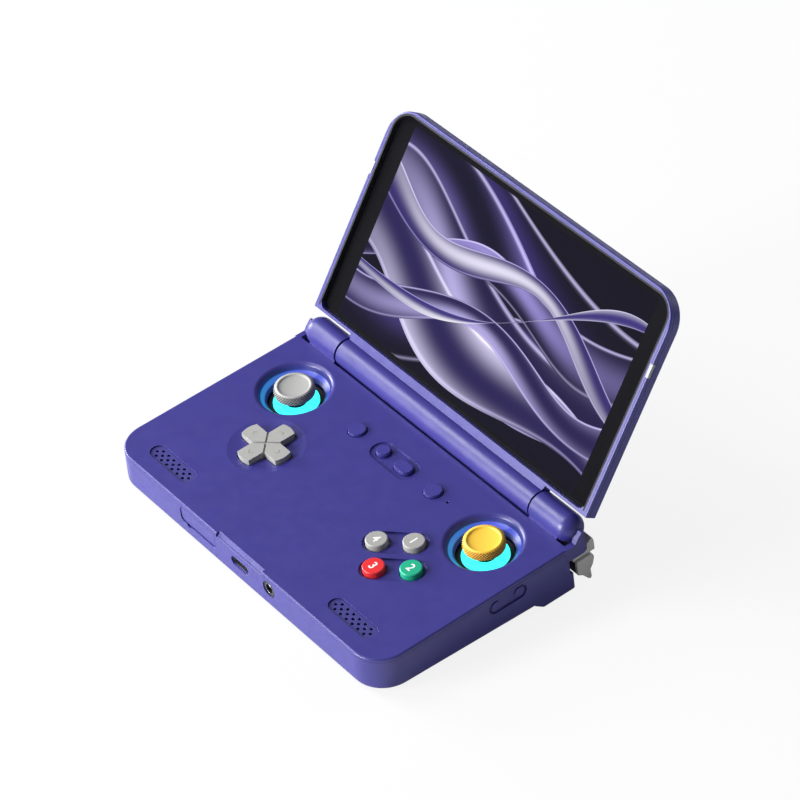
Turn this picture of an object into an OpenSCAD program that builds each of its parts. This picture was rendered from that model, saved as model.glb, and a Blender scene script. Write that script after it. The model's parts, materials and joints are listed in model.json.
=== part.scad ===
// Clamshell handheld game console with a barrel-hinged display lid.
// Deck frame: X across, Y from the front face to the hinge, Z = 0 on the deck.
// The whole console is then stood on its four feet, with the origin on the
// table under the middle of its box.

/* [Body] */
// Width of the base
body_w = 142; // [138:0.5:146]
// Depth from the front face to the rear face of the tail
body_d = 76.7; // [75.7:0.1:78]
// Depth of the floor below the deck at the front face
front_depth = 12.8; // [12.5:0.1:14]
// Fall of the floor from front to back, in degrees
floor_slope = 2.4; // [1.6:0.1:2.6]
// Depth of the tail below the deck
tail_depth = 18.2; // [17.8:0.1:19]
// Length of the tail along Y
tail_l = 14.6; // [13:0.1:16]
// Radius of the upright front corners
corner_r = 11; // [8:0.5:13]
// Rounding of the deck's top edge
deck_edge_r = 0.7; // [0.4:0.1:0.9]
// Rounding of the floor's outer edge
floor_edge_r = 1.8; // [1.2:0.1:2.6]
// Height of the deck's visible edge above the seam
seam_h = 1.2; // [1:0.1:1.5]
// Wall of the deck
deck_wall = 1.6; // [1.4:0.1:1.8]
// Wall of the bottom shell
shell_wall = 1.4; // [1.2:0.1:1.6]

/* [Lid] */
// Height of the hinge axis above the deck
hinge_z = 1.85; // [1.8:0.05:2.1]
// Radius of the base's hinge barrels
barrel_r = 5; // [4.8:0.05:5.1]
// Radius of the lid's centre barrel
lid_barrel_r = 4.9; // [4.6:0.05:5]
// Length of each of the base's hinge barrels, with its rounded end
barrel_l = 20; // [19:0.1:22]
// Angle of the lid above the deck plane behind the hinge
lid_lean = 54.65; // [20:0.05:100]
// Step of the lid's sides in from the base's sides
lid_step = 0.2; // [0:0.05:0.5]
// Distance from the hinge axis to the lid's far edge
lid_reach = 82; // [80.5:0.1:82.4]
// Thickness of the lid behind the glass
lid_back = 3.6; // [3.5:0.1:4.4]
// Height of the lid's rim above the glass
rim_h = 1.55; // [1.2:0.05:1.6]
// Depth of the glass face behind the hinge axis
glass_drop = 0.35; // [0.3:0.05:0.6]
// Width of the black border beside the picture, under the glass
border_w = 7.62; // [6:0.02:9]
// Width of the rim at the sides of the glass
rim_w = 2.3; // [1.8:0.1:3]
// Wall of the lid's back cover
lid_wall = 1; // [0.8:0.1:1.1]

/* [Thumb sticks] */
// Distance of each stick from the base's side
stick_in = 21; // [20:0.1:22.5]
// Distance of each stick from the rear face
stick_back = 17.7; // [17:0.1:18.5]
// Radius of the well's mouth
well_r = 13.6; // [12.8:0.1:13.8]
// Radius of the well's throat
throat_r = 9.6; // [9.2:0.1:10]
// Radius of the thumb cap
cap_r = 7; // [6.6:0.1:7.2]
// Height of the thumb cap above the deck
cap_top = 1.35; // [1:0.05:1.4]
// Radius of the glowing disc
glow_r = 7.75; // [7.2:0.05:8.2]
// Radius of the stick's stem
stem_r = 1.6; // [1.4:0.05:1.8]
// Depth of the stick's pivot below the deck
stick_pivot = 9; // [8.8:0.05:9.2]

/* [Direction pad] */
// Distance of the pad from the base's left side
dpad_in = 37.1; // [36:0.1:38]
// Distance of the pad from the front face
dpad_y = 35.9; // [35:0.1:37]
// Reach of each arm
arm_reach = 9.9; // [9.2:0.1:10.4]
// Width of each arm
arm_w = 6.2; // [5.6:0.1:6.8]
// Radius of the dish round the pad
dish_r = 12.95; // [12:0.05:13.2]
// Depth of the dish
dish_depth = 0.95; // [0.7:0.05:1.1]

/* [Face buttons] */
// Distance of the cluster's centre from the base's right side
face_in = 35.5; // [35:0.1:36.2]
// Distance of the cluster's centre from the front face
face_y = 34.7; // [33.6:0.1:35.6]
// Half the spacing of the side buttons
face_dx = 8.9; // [8.6:0.1:9.4]
// Half the spacing of the near and far buttons
face_dy = 8; // [7.8:0.1:8.6]
// Radius of a face button
face_r = 3.75; // [3.5:0.05:3.9]
// Depth of the recess round each pair
face_recess = 0.6; // [0.4:0.05:0.8]
// Height of the buttons above the deck
button_top = 1.45; // [1.1:0.05:1.5]

/* [Function buttons] */
// Distance of the row from the rear face
row_back = 15.2; // [14.8:0.1:16]
// Places of the four function buttons across the deck
row_x = [-19, -5, 5.6, 21];
// Radius of the two outer function buttons
outer_key_r = 3.15; // [2.8:0.05:3.4]
// Radius of the round middle button and of the oval one's ends
inner_key_r = 2.5; // [2.2:0.05:2.8]
// Length of the oval button's straight sides
oval_l = 2.4; // [1.8:0.1:3]
// Height of the function buttons above the deck
key_top = 0.8; // [0.5:0.05:1]

/* [Speakers] */
// Distance of each grille's centre from the base's side
grille_in = 22.7; // [21.5:0.1:25]
// Distance of each grille from the front face
grille_y = 8.9; // [8.4:0.1:10.1]
// Length of a grille
grille_l = 22; // [21:0.1:23.5]
// Width of a grille
grille_w = 5.8; // [5.4:0.1:6.4]
// Depth of the grille's face below the deck
grille_sunk = 0.45; // [0.2:0.05:0.6]
// Radius of one grille hole
grille_hole_r = 0.56; // [0.4:0.01:0.6]

/* [Ports and side keys] */
// Depth of the charging socket's centre below the deck
usb_z = 5.6; // [5.3:0.05:5.9]
// Distance of the headphone jack from the middle
jack_x = 15.6; // [15:0.1:16.2]
// Depth of the headphone jack below the deck
jack_z = 4.9; // [4.8:0.05:5.4]
// Radius of the headphone jack's bore
jack_r = 1.75; // [1.7:0.01:1.8]
// Distance of the card flap's centre from the middle, to the left
flap_x = 22.9; // [22:0.1:24]
// Length of the card flap
flap_l = 18.6; // [17:0.1:19]
// Height of the card flap
flap_h = 5.5; // [5:0.1:5.6]
// Distance of the volume rocker from the rear face
rocker_back = 25.4; // [24:0.1:30]
// Length of the volume rocker
rocker_l = 13.6; // [12:0.1:15]
// Height of the volume rocker
rocker_h = 4.4; // [4:0.1:4.6]

/* [Shoulder keys] */
// Inner end of the triggers
trigger_x = 44; // [43.8:0.1:48]
// Top of the triggers below the deck
trigger_top = 7.65; // [7.6:0.05:7.8]
// Radius of the trigger and shoulder pins
pin_r = 0.6; // [0.5:0.02:0.65]

/* [Feet] */
// Distance of the feet from the middle
foot_x = 58; // [50:0.5:60]
// Distance of the front feet from the front face
front_foot_y = 9.6; // [8.6:0.1:14]
// Distance of the rear feet from the rear face
rear_foot_back = 5.9; // [5.7:0.1:6.6]
// Radius of a foot
foot_r = 3.6; // [3:0.1:3.8]
// Height of the front feet below the floor
front_foot_h = 1.2; // [0.8:0.1:1.6]
// Height of the rear feet below the tail
rear_foot_h = 0.8; // [0.6:0.1:1.2]

/* [Fits] */
// Gap between a moving key and its opening
key_gap = 0.25; // [0.15:0.05:0.3]
// Radial gap of a running pin
run_gap = 0.05; // [0.03:0.01:0.08]
// Gap between two parts that are assembled and stay put
seat_gap = 0.1; // [0.05:0.01:0.15]

/* [Hidden] */
$fn = 48;
eps = 0.02;
// Upright lengths of the base
rear_foot_y = body_d - rear_foot_back;
stick_x = body_w / 2 - stick_in;
stick_y = body_d - stick_back;
dpad_x = body_w / 2 - dpad_in;
face_x = body_w / 2 - face_in;
row_y = body_d - row_back;
grille_x = body_w / 2 - grille_in;
rocker_y = body_d - rocker_back;
rocker_z = 4.8;
flap_z = usb_z - 0.95;
flap_t = 1.1;
mic_x = 28;
mic_y = row_y + 0.25;
// The tail's fall and the four feet fix how the console stands.
floor_at_foot = front_depth + front_foot_y * tan(floor_slope);
pitch = atan2(tail_depth + rear_foot_h - floor_at_foot - front_foot_h, rear_foot_y - front_foot_y);
stand_z = (floor_at_foot + front_foot_h) * cos(pitch) - front_foot_y * sin(pitch);
front_foot_w = front_foot_y * cos(pitch) + (floor_at_foot + front_foot_h) * sin(pitch);
rear_foot_w = rear_foot_y * cos(pitch) + (tail_depth + rear_foot_h) * sin(pitch);
foot_sunk = 0.5;
// Shadow gap along each seam between two housings
seam_gap = 0.12;
// Hinge line
hinge_y = body_d + 4.5;
deck_end = hinge_y - barrel_r - 0.4;
heel_r = 1.6;
barrel_in = body_w / 2 - barrel_l;
barrel_end = body_w / 2 - 1.8;
barrel_round = 4.5;
lid_barrel_l = 2 * (barrel_in - 0.8);
neck_w = 2 * (barrel_in - 0.4);
cradle_w = lid_barrel_l;
cradle_low = 3.95;
cheek_t = 2;
cheek_y = hinge_y + 1.4;
cheek_low = 5.2;
hinge_pin_r = 1.5;
cartridge_r = 3.4;
cartridge_l = 13;
cartridge_in = barrel_in + 0.6;
pin_in_lid = 8;
// Inside levels below the deck
board_z = 5;
board_t = 1;
boss_r = 2.3;
boss_end = 8;
screw_r = 0.8;
screw_head_r = 1.5;
screw_seat = 11.6;
side_screw_x = body_w / 2 - 6.8;
rear_screw_y = body_d - 7.7;
screw_spots = [[-side_screw_x, 17], [side_screw_x, 17], [-side_screw_x, 41], [side_screw_x, 41],
               [-29, rear_screw_y], [29, rear_screw_y]];
skirt_t = 1;
skirt_h = 3;
bowl_depth = 5.2;
glow_z = 6.1;
// Fan, heat sink, battery
fan_x = -10;
fan_y = body_d - 14.7;
fan_r = 10.4;
fan_pin_r = 0.8;
fan_low = 12;
fan_box = [27, 22.8, 5.8];
battery_y = 18.5;
battery_w = 62;
battery_t = 5;
battery_low = 11.2;
sink_x = fan_x + fan_box[0] / 2 + 1.7;
fin_pitch = 2.1;
fin_count = 10;
// Display stack, in the lid's own frame
lid_w = body_w - 2 * lid_step;
glass_w = lid_w - 2 * rim_w;
picture_w = glass_w - 2 * border_w;
glass_in = 7.7;
glass_out = lid_reach - 1.7;
glass_t = 0.7;
glass_back = glass_drop + glass_t;
panel_t = 1.3;
lid_in = barrel_r + 0.4;
lid_foot = 6.6;
lid_seam = 0.2;
lid_inside = lid_back - lid_wall;
lid_corner_r = corner_r;
lid_edge_r = 1.5;
buffer_y = lid_reach - 24;
buffer_up = 0.15;
// Half the depth of the whole box, from the deck's front edge to the lid's far edge
lid_tilt = lid_lean + pitch;
box_front = deck_edge_r * (cos(pitch) + sin(pitch) - 1);
box_rear = hinge_y * cos(pitch) - hinge_z * sin(pitch) + (lid_reach - lid_edge_r) * cos(lid_tilt)
  + (lid_back - lid_edge_r) * sin(lid_tilt) + lid_edge_r;
stand_y = (box_front + box_rear) / 2;
// Grille holes
grille_t = 0.8;
hole_pitch = 2.95;
hole_row = 1.44;
// Shoulder keys
pin_y = body_d + 3.8;
pin_z = trigger_top + 2.35;
shoulder_top = 4.2;
shoulder_low = trigger_top - 0.5;
pin_high = shoulder_top - 0.7;
pin_low = shoulder_low + 0.85;
shoulder_in = 39.2;
shoulder_out = body_w / 2 - 0.8;
shoulder_rear = hinge_y + 5.1;
barrel_room = barrel_r + 0.6;
ear_x = 41;
ear_t = 0.8;
lug_in = 52;
lug_out = 60;
pocket_y = body_d - 1.1;
pocket_in = 37.5;
pocket_low = 10.5;

// ---------- Frames and shared shapes ----------

// Stands parts drawn in the deck frame on the table
module stand() {
  translate([0, -stand_y, stand_z]) rotate([pitch, 0, 0]) children();
}

// Places parts drawn in the lid's frame: Y from the hinge axis, Z out of the glass
module on_lid() {
  stand() translate([0, hinge_y, hinge_z]) rotate([lid_lean, 0, 0]) children();
}

// Runs an extrusion of a Y-Z outline along X from x0 to x1
module along_x(x0, x1) {
  translate([x0, 0, 0]) rotate([90, 0, 90]) linear_extrude(height = x1 - x0) children();
}

// Turns a cylinder's axis to X, starting at x0
module rod_x(x0, x1, r) {
  translate([x0, 0, 0]) rotate([0, 90, 0]) cylinder(h = x1 - x0, r = r);
}

// Points on an arc
function arc(c, r, a0, a1, n = 10) =
  [for (i = [0:n]) c + r * [cos(a0 + (a1 - a0) * i / n), sin(a0 + (a1 - a0) * i / n)]];

// Section of a slab with its two upper edges rounded
module slab_section(l, h, e) {
  intersection() {
    translate([0, -h]) square([l, h]);
    union() {
      translate([0, -h]) square([l, h - e]);
      translate([e, -h]) square([l - 2 * e, h]);
      for (x = [e, l - e]) translate([x, -e]) circle(e, $fn = 24);
    }
  }
}

// Slab from z = -h to 0, centred in X, y from 0 to d, corners r, upper edge e
module soft_slab(w, d, h, r, e) {
  along_x(-w / 2 + r, w / 2 - r) slab_section(d, h, e);
  translate([-w / 2, d - r, 0]) rotate([90, 0, 0]) linear_extrude(height = d - 2 * r)
    slab_section(w, h, e);
  for (x = [-w / 2 + r, w / 2 - r], y = [r, d - r]) translate([x, y, 0]) rotate_extrude()
    intersection() {
      translate([0, -h]) square([r, h]);
      translate([-r, 0]) slab_section(2 * r, h, e);
    }
}

// Capsule outline of length l over all and width w, along X
module capsule(l, w) {
  if (l > w) square([l - w, w], center = true);
  for (x = [-1, 1]) translate([x * (l - w) / 2, 0]) circle(w / 2);
}

// Outline with one radius on the near corners and another on the far ones
module lid_outline(w, y0, y1, near, far) {
  translate([-w / 2, y0 + near]) square([w, y1 - y0 - near - far]);
  translate([-w / 2 + near, y0]) square([w - 2 * near, near + eps]);
  translate([-w / 2 + far, y1 - far - eps]) square([w - 2 * far, far + eps]);
  for (s = [-1, 1]) {
    translate([s * (w / 2 - near), y0 + near]) circle(near);
    translate([s * (w / 2 - far), y1 - far]) circle(far);
  }
}

// ---------- Base ----------

// Outside of the lower case, from the seam down, less an inset all round
module case_body(inset) {
  floor_r = max(floor_edge_r - inset, 0.3);
  top = inset > eps ? 0 : seam_h + seam_gap;
  intersection() {
    translate([0, inset, -seam_h]) rotate([-floor_slope, 0, 0]) mirror([0, 0, 1])
      translate([0, 0, front_depth - seam_h - inset])
        soft_slab(body_w - 2 * inset, body_d + 20, front_depth + 4, corner_r - inset, floor_r);
    translate([-body_w, -1, -30]) cube([2 * body_w, body_d - inset + 1, 30 - top]);
  }
  intersection() {
    along_x(-body_w / 2 + inset, body_w / 2 - inset) tail_section(inset);
    translate([-body_w / 2 + inset, body_d, 0]) rotate([90, 0, 0]) linear_extrude(height = 40)
      translate([0, inset - tail_depth]) mirror([0, 1]) slab_section(body_w - 2 * inset, tail_depth, floor_r);
  }
}

// Side view of the tail, with its sloping step and rounded heel
module tail_section(inset) {
  y1 = body_d - inset;
  z1 = inset - tail_depth;
  y0 = body_d - tail_l + inset;
  r = heel_r - inset / 2;
  top = -seam_h - 1;
  polygon(concat([[y0 - 1, top], [y0 - 1, z1 + 3.6], [y0 + 2.6, z1 + 0.8], [y0 + 8, z1 + 0.1]],
                 arc([y1 - r, z1 + r], r, -90, 0), [[y1, top]]));
}

// Room in the deck and the lower case for the well of one stick
module well_cut() {
  rotate_extrude() polygon(concat(
    [[0, 0.5], [well_r, 0.5]],
    arc([well_r, -1.7], 1.7, 90, 165, 6),
    [[throat_r + 1.9, -2.3], [throat_r + 0.7, -3.5], [throat_r, -4.2],
     [throat_r, -bowl_depth - 1], [0, -bowl_depth - 1]]));
}

// Thumb bevel across the middle of the front edge
module thumb_bevel() {
  along_x(-12.1, 12.1) polygon([[-1, -2.7], [2.6, 1], [-1, 1]]);
}

// Arm outline with a convex end
module arm(reach, w) {
  end_r = 7.2 * w / arm_w;
  intersection() {
    translate([0, -w / 2]) square([reach, w]);
    translate([reach - end_r, 0]) circle(end_r);
  }
  translate([0, -w / 2]) square([reach / 2, w]);
}

// Cross of four arms
module cross(reach, w) {
  for (a = [0:90:270]) rotate(a) arm(reach, w);
}

// Places of the face buttons: north, east, south, west
face_spots = [[face_x, face_y + face_dy], [face_x + face_dx, face_y],
              [face_x, face_y - face_dy], [face_x - face_dx, face_y]];

// Recess outline that joins two face buttons
module pair_recess(a, b, r) {
  d = b - a;
  translate((a + b) / 2) rotate(atan2(d[1], d[0])) capsule(norm(d) + 2 * r, 2 * r);
}

// Outline of a function button
module key_outline(i, grow) {
  r = (i == 0 || i == 3) ? outer_key_r : inner_key_r;
  l = i == 2 ? oval_l : 0;
  translate([row_x[i], row_y]) capsule(2 * (r + grow) + l, 2 * (r + grow));
}

// Barrel at one end of the base: domed outer end, web to the deck and outer cheek
module base_barrel() {
  translate([barrel_in, hinge_y, hinge_z]) rotate([0, 90, 0]) rotate_extrude()
    polygon(concat([[0, 0], [barrel_r, 0]],
                   arc([barrel_r - barrel_round, barrel_end - barrel_in - barrel_round], barrel_round, 0, 90),
                   [[0, barrel_end - barrel_in]]));
  along_x(barrel_in, barrel_end - barrel_round)
    polygon([[deck_end - 1, -seam_h - 2.2], [hinge_y, -seam_h - 2.2], [hinge_y, hinge_z],
             [hinge_y - barrel_r + 0.4, hinge_z], [hinge_y - barrel_r, 0], [deck_end - 1, 0]]);
  along_x(body_w / 2 - cheek_t, body_w / 2)
    polygon(concat([[deck_end - 1, 0], [deck_end - 1, -cheek_low]],
                   arc([cheek_y - 1.3, 1.3 - cheek_low], 1.3, -90, 0),
                   arc([cheek_y - 1.2, hinge_z + 0.4], 1.2, 0, 90),
                   [[hinge_y - 1.6, hinge_z - 0.3], [hinge_y - 2.6, 0]]));
}

module deck_shell() color("#4b4696") stand() difference() {
  union() {
    difference() {
      soft_slab(body_w, body_d + 20, seam_h, corner_r, deck_edge_r);
      translate([-body_w, deck_end, -20]) cube([2 * body_w, 60, 40]);
    }
    // Inner step, skirt and the rear rail under the barrel
    intersection() {
      union() {
        translate([0, shell_wall + seat_gap, 0]) difference() {
          soft_slab(body_w - 2 * shell_wall - 2 * seat_gap, body_d + 16, skirt_h,
                    corner_r - shell_wall, deck_edge_r);
          translate([0, skirt_t, -deck_wall])
            soft_slab(body_w - 2 * shell_wall - 2 * seat_gap - 2 * skirt_t, body_d + 10, 4,
                      corner_r - shell_wall - skirt_t, 0.4);
        }
      }
      translate([-body_w, 0, -seam_h - 5]) cube([2 * body_w, deck_end - 1.4, 5.5]);
    }
    for (s = [-1, 1]) {
      translate([s * stick_x, stick_y, -bowl_depth]) {
        cylinder(h = bowl_depth - 1, r = throat_r + 1.3);
        translate([0, 0, bowl_depth - 3.6]) cylinder(h = 3, r = throat_r + 3.2);
      }
      mirror([s < 0 ? 1 : 0, 0, 0]) base_barrel();
    }
    translate([-dpad_x, dpad_y, -2.6]) cylinder(h = 2, r = dish_r + 0.4);
    for (p = screw_spots) translate([p[0], p[1], -boss_end]) cylinder(h = boss_end - 1, r = boss_r);
  }
  for (s = [-1, 1]) {
    translate([s * stick_x, stick_y, 0]) well_cut();
    // Seat and slots of the speaker grille
    translate([s * grille_x, grille_y, -grille_sunk - grille_t]) linear_extrude(height = 2)
      capsule(grille_l, grille_w);
    translate([s * grille_x, grille_y, -skirt_h - 1]) linear_extrude(height = skirt_h + 2)
      capsule(grille_l - 1.6, grille_w - 1.6);
    // Bore of the hinge cartridge
    translate([0, hinge_y, hinge_z]) mirror([s < 0 ? 1 : 0, 0, 0])
      rod_x(barrel_in - 1, cartridge_in + cartridge_l + seat_gap, cartridge_r + run_gap);
  }
  // Dish and cross opening of the direction pad
  dish_ball = (dish_r * dish_r + dish_depth * dish_depth) / (2 * dish_depth);
  translate([-dpad_x, dpad_y, -dish_depth]) rotate_extrude() intersection() {
    translate([0, dish_ball]) circle(dish_ball, $fn = 240);
    square([dish_r + 2, dish_depth + 0.2]);
  }
  translate([-dpad_x, dpad_y, -4]) linear_extrude(height = 4)
    cross(arm_reach + key_gap + 0.1, arm_w + 2 * key_gap + 0.2);
  // Face buttons: two joined recesses and four holes
  for (i = [0, 2]) translate([0, 0, -face_recess]) linear_extrude(height = 2)
    pair_recess(face_spots[i], face_spots[(i + 3) % 4], face_r + 1.1);
  for (p = face_spots) translate([p[0], p[1], -4]) cylinder(h = 5, r = face_r + key_gap);
  // Function buttons, with the recess shared by the two in the middle
  translate([(row_x[1] + row_x[2]) / 2 + 0.6, row_y, -0.5]) linear_extrude(height = 1)
    capsule(row_x[2] - row_x[1] + oval_l + 2 * inner_key_r + 3.2, 2 * inner_key_r + 3.6);
  for (i = [0:3]) translate([0, 0, -4]) linear_extrude(height = 5) key_outline(i, key_gap);
  // Microphone hole
  translate([mic_x, mic_y, -4]) cylinder(h = 5, r = 0.5);
  thumb_bevel();
  // Room for the headphone jack in the skirt
  translate([jack_x - 3.6, shell_wall, -skirt_h - 1]) cube([7.2, skirt_t + 1, skirt_h + 1 - deck_wall]);
  // Pilot holes of the case screws
  for (p = screw_spots) translate([p[0], p[1], -boss_end - 0.1]) cylinder(h = 6, r = screw_r + run_gap);
  // Room for the volume rocker behind the skirt
  translate([body_w / 2 - 4, rocker_y - rocker_l / 2 - 0.6, -6]) cube([2.6, rocker_l + 1.2, 6 - deck_wall]);
}

module bottom_shell() color("#4b4696") difference() {
  stand() difference() {
    union() {
      difference() {
        case_body(0);
        case_body(shell_wall);
        shoulder_pockets();
      }
      // Wall behind the shoulder keys, inside the tail, and what carries the keys
      for (s = [0, 1]) mirror([s, 0, 0]) {
        difference() {
          intersection() {
            case_body(0);
            translate([pocket_in - 0.5, pocket_y - shell_wall, -pocket_low - shell_wall])
              cube([40, 6, pocket_low + shell_wall - skirt_h - seat_gap]);
          }
          shoulder_pockets();
        }
        shoulder_carriers();
      }
      barrel_cradle();
      // Backing of the card flap
      translate([-flap_x - flap_l / 2 - 1.2, shell_wall - 0.2, -flap_z - flap_h / 2 - 1])
        cube([flap_l + 2.4, 1.3, flap_z + flap_h / 2 + 1 - skirt_h - seat_gap]);
      intersection() {
        case_body(eps);
        for (p = screw_spots) translate([p[0], p[1], -tail_depth])
          cylinder(h = tail_depth - boss_end - 0.1, r = 2.9);
      }
    }
    case_openings();
    thumb_bevel();
    for (p = screw_spots) {
      translate([p[0], p[1], -tail_depth]) cylinder(h = tail_depth, r = screw_r + run_gap);
      translate([p[0], p[1], -tail_depth - 1])
        cylinder(h = tail_depth + 1 - screw_seat, r = screw_head_r + 0.2);
    }
  }
  foot_set(foot_r + seat_gap, eps);
}

// Lip of the rear wall that runs under the lid's centre barrel
module barrel_cradle() {
  difference() {
    along_x(-cradle_w / 2, cradle_w / 2)
      polygon([[pocket_y - 0.4, -cradle_low], [hinge_y - 0.4, -cradle_low], [hinge_y - 0.4, -2.9],
               [deck_end, -seam_h - seam_gap], [pocket_y - 0.4, -seam_h - seam_gap]]);
    translate([0, hinge_y, hinge_z]) rod_x(-body_w / 2, body_w / 2, lid_barrel_r + 0.3);
    shoulder_pin_set(pin_r + 0.01);
  }
}

// Ears of the shoulder keys and lugs of the triggers, outside the rear wall
module shoulder_carriers() {
  difference() {
    for (z = [-shoulder_top - 0.1, -pin_low])
      translate([ear_x - 2, pocket_y - 0.5, z]) cube([4, pin_y - pocket_y + 1.7, ear_t]);
    shoulder_pin_set(pin_r + 0.01);
  }
  difference() {
    along_x(lug_in, lug_out) {
      translate([pocket_y - 0.4, -pin_z - 1.2]) square([pin_y - pocket_y + 0.4, 2.4]);
      translate([pin_y, -pin_z]) circle(1.2);
    }
    translate([0, pin_y, -pin_z]) rod_x(lug_in - 2, lug_out + 2, pin_r + 0.01);
  }
}

// Space for the keys behind the rear wall, with what carries them left standing
module shoulder_pockets() {
  for (s = [0, 1]) mirror([s, 0, 0]) {
    translate([pocket_in, pocket_y, -pocket_low]) cube([body_w / 2, 10, pocket_low + 5]);
    translate([barrel_in - 0.5, deck_end - 1.1, -seam_h - 2.3]) cube([body_w / 2, 10, 10]);
    translate([body_w / 2 - cheek_t - seat_gap, deck_end - 1.1, -cheek_low - seat_gap]) cube([5, 10, 10]);
  }
}

// Openings of the lower case: ports, rocker, vents, strap slot
module case_openings() {
  // Charging socket
  translate([0, 4, -usb_z]) rotate([90, 0, 0]) linear_extrude(height = 6) capsule(9.3, 3.6);
  // Headphone jack
  translate([jack_x, 4, -jack_z]) rotate([90, 0, 0]) cylinder(h = 6, r = 3);
  // Card flap: recess, slot and nail notch
  translate([-flap_x, 1.3, -flap_z]) rotate([90, 0, 0]) linear_extrude(height = 3) flap_outline(key_gap);
  translate([-flap_x - 6.2, 0, -board_z - 2.35]) cube([12.4, 4, 1.2]);
  translate([-flap_x - 5.2, 0.8, -flap_z - flap_h / 2 - key_gap]) rotate([90, 0, 0])
    linear_extrude(height = 2) capsule(2, 1.2);
  // Strap slot in the left front corner
  translate([-body_w / 2 + corner_r, corner_r, -4.6]) rotate(-45) translate([-0.8, -corner_r - 1, -1.6])
    cube([1.6, 4, 3.2]);
  // Volume rocker: sunk surround and slot
  translate([body_w / 2 - 0.5, rocker_y, -rocker_z]) rotate([90, 0, 90]) linear_extrude(height = 2)
    capsule(rocker_l + 1.2, rocker_h + 1);
  translate([body_w / 2 - 2, rocker_y, -rocker_z]) rotate([90, 0, 90]) linear_extrude(height = 3)
    capsule(rocker_l + 2 * key_gap, rocker_h + 2 * key_gap);
  // Air intake under the fan, outlet behind the fins
  for (i = [-4:4]) translate([fan_x + i * 2.8, fan_y - 7, -20]) linear_extrude(height = 8)
    rotate(90) capsule(8, 1.3);
  for (i = [0:6]) translate([sink_x + 1.4 + i * 2.8, body_d + 1, -8.8]) rotate([90, 0, 0])
    linear_extrude(height = 4) rotate(90) capsule(5, 1.4);
}

// The four feet, of radius r, grown upwards by a little
module foot_set(r, up) {
  front_up = front_foot_h + foot_sunk;
  rear_up = rear_foot_h + foot_sunk;
  for (s = [-1, 1]) {
    translate([s * foot_x, front_foot_w - stand_y, -up]) cylinder(h = front_up + up, r = r);
    translate([s * foot_x, rear_foot_w - stand_y, -up]) cylinder(h = rear_up + up, r = r);
  }
}

module rubber_feet() color("#26252c") foot_set(foot_r, 0);

module speaker_grille(s) color("#3d3a86") stand() difference() {
  translate([s * grille_x, grille_y, -grille_sunk - grille_t]) linear_extrude(height = grille_t)
    capsule(grille_l - 2 * seat_gap, grille_w - 2 * seat_gap);
  for (r = [-1:1]) {
    n = r == 0 ? 7 : 6;
    for (i = [0:n - 1])
      translate([s * grille_x + (i - (n - 1) / 2) * hole_pitch, grille_y + r * hole_row, -3])
        cylinder(h = 4, r = grille_hole_r);
  }
}

// Speaker below its grille, with an open mouth
module speaker(s) color("#202024") stand() translate([s * grille_x, grille_y, -board_z - 0.6]) difference() {
  linear_extrude(height = board_z + 0.45 - deck_wall) capsule(grille_l + 1, grille_w + 2.6);
  translate([0, 0, 2.6]) linear_extrude(height = 2) capsule(grille_l - 2, grille_w);
}

// Board with a tongue to the ports, cut round the stick modules, the posts and the charging socket
module main_board() color("#1f5a3c") stand() translate([0, 0, -board_z - board_t])
  linear_extrude(height = board_t) difference() {
    union() {
      translate([-body_w / 2 + 5, battery_y - 3.9]) square([body_w - 10, body_d - battery_y - 0.2]);
      translate([-flap_x - 9, 2.9]) square([flap_x + jack_x + 5.3, 13]);
    }
    for (s = [-1, 1]) {
      translate([s * stick_x, stick_y]) circle(throat_r + 1.7);
      translate([s * (body_w / 2 - 19.5), body_d - 4]) square([40, 5.4], center = true);
    }
    for (p = screw_spots) translate(p) circle(boss_r + 0.9);
    square([9.8, 16.4], center = true);
  }

module battery() color("#2b2e33") stand() translate([-battery_w / 2, battery_y, -battery_low])
  cube([battery_w, fan_y - fan_box[1] / 2 - 0.6 - battery_y, battery_t]);

// Fan housing: flat box with a round inlet below, a side outlet and a fixed spindle
module fan_housing() color("#2a2a30") stand() translate([fan_x, fan_y, -fan_low]) difference() {
  translate([-fan_box[0] / 2, -fan_box[1] / 2, 0]) cube(fan_box);
  difference() {
    translate([0, 0, -1]) cylinder(h = fan_box[2], r = fan_r);
    translate([0, 0, -2]) cylinder(h = fan_box[2] + 2, r = fan_pin_r);
  }
  translate([2, 4, -1]) cube([fan_box[0] / 2 - 1.5, fan_r - 4, fan_box[2]]);
}

module fan_rotor() color("#3a3a42") stand() translate([fan_x, fan_y, 0.2 - fan_low]) difference() {
  union() {
    cylinder(h = 4.2, r = 4.2);
    for (i = [0:10]) rotate(i * 360 / 11) translate([3.6, -0.3, 0]) cube([fan_r - 4.6, 0.6, 4]);
  }
  translate([0, 0, -1]) cylinder(h = 6, r = fan_pin_r + run_gap);
}

// Finned block beside the fan's outlet
module heat_sink() color("#b98a4e") stand() translate([sink_x, fan_y - 10, -fan_low + 0.6]) {
  translate([0, 0, 4.4]) cube([fin_pitch * (fin_count - 1) + 1.1, 20.8, 0.8]);
  for (i = [0:fin_count - 1]) translate([i * fin_pitch, 8, 0]) cube([0.5, 12.8, 4.5]);
}

// Charging socket: thin metal shell with its tongue
module usb_c_socket() color("#b9bcc2") stand() translate([0, 7.8, -usb_z]) rotate([90, 0, 0]) {
  linear_extrude(height = 7.4) difference() {
    capsule(8.94, 3.2);
    capsule(8.3, 2.56);
  }
  linear_extrude(height = 0.6) capsule(8.4, 2.7);
  translate([-3.35, -0.35, 0]) cube([6.7, 0.7, 5.4]);
}

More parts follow.
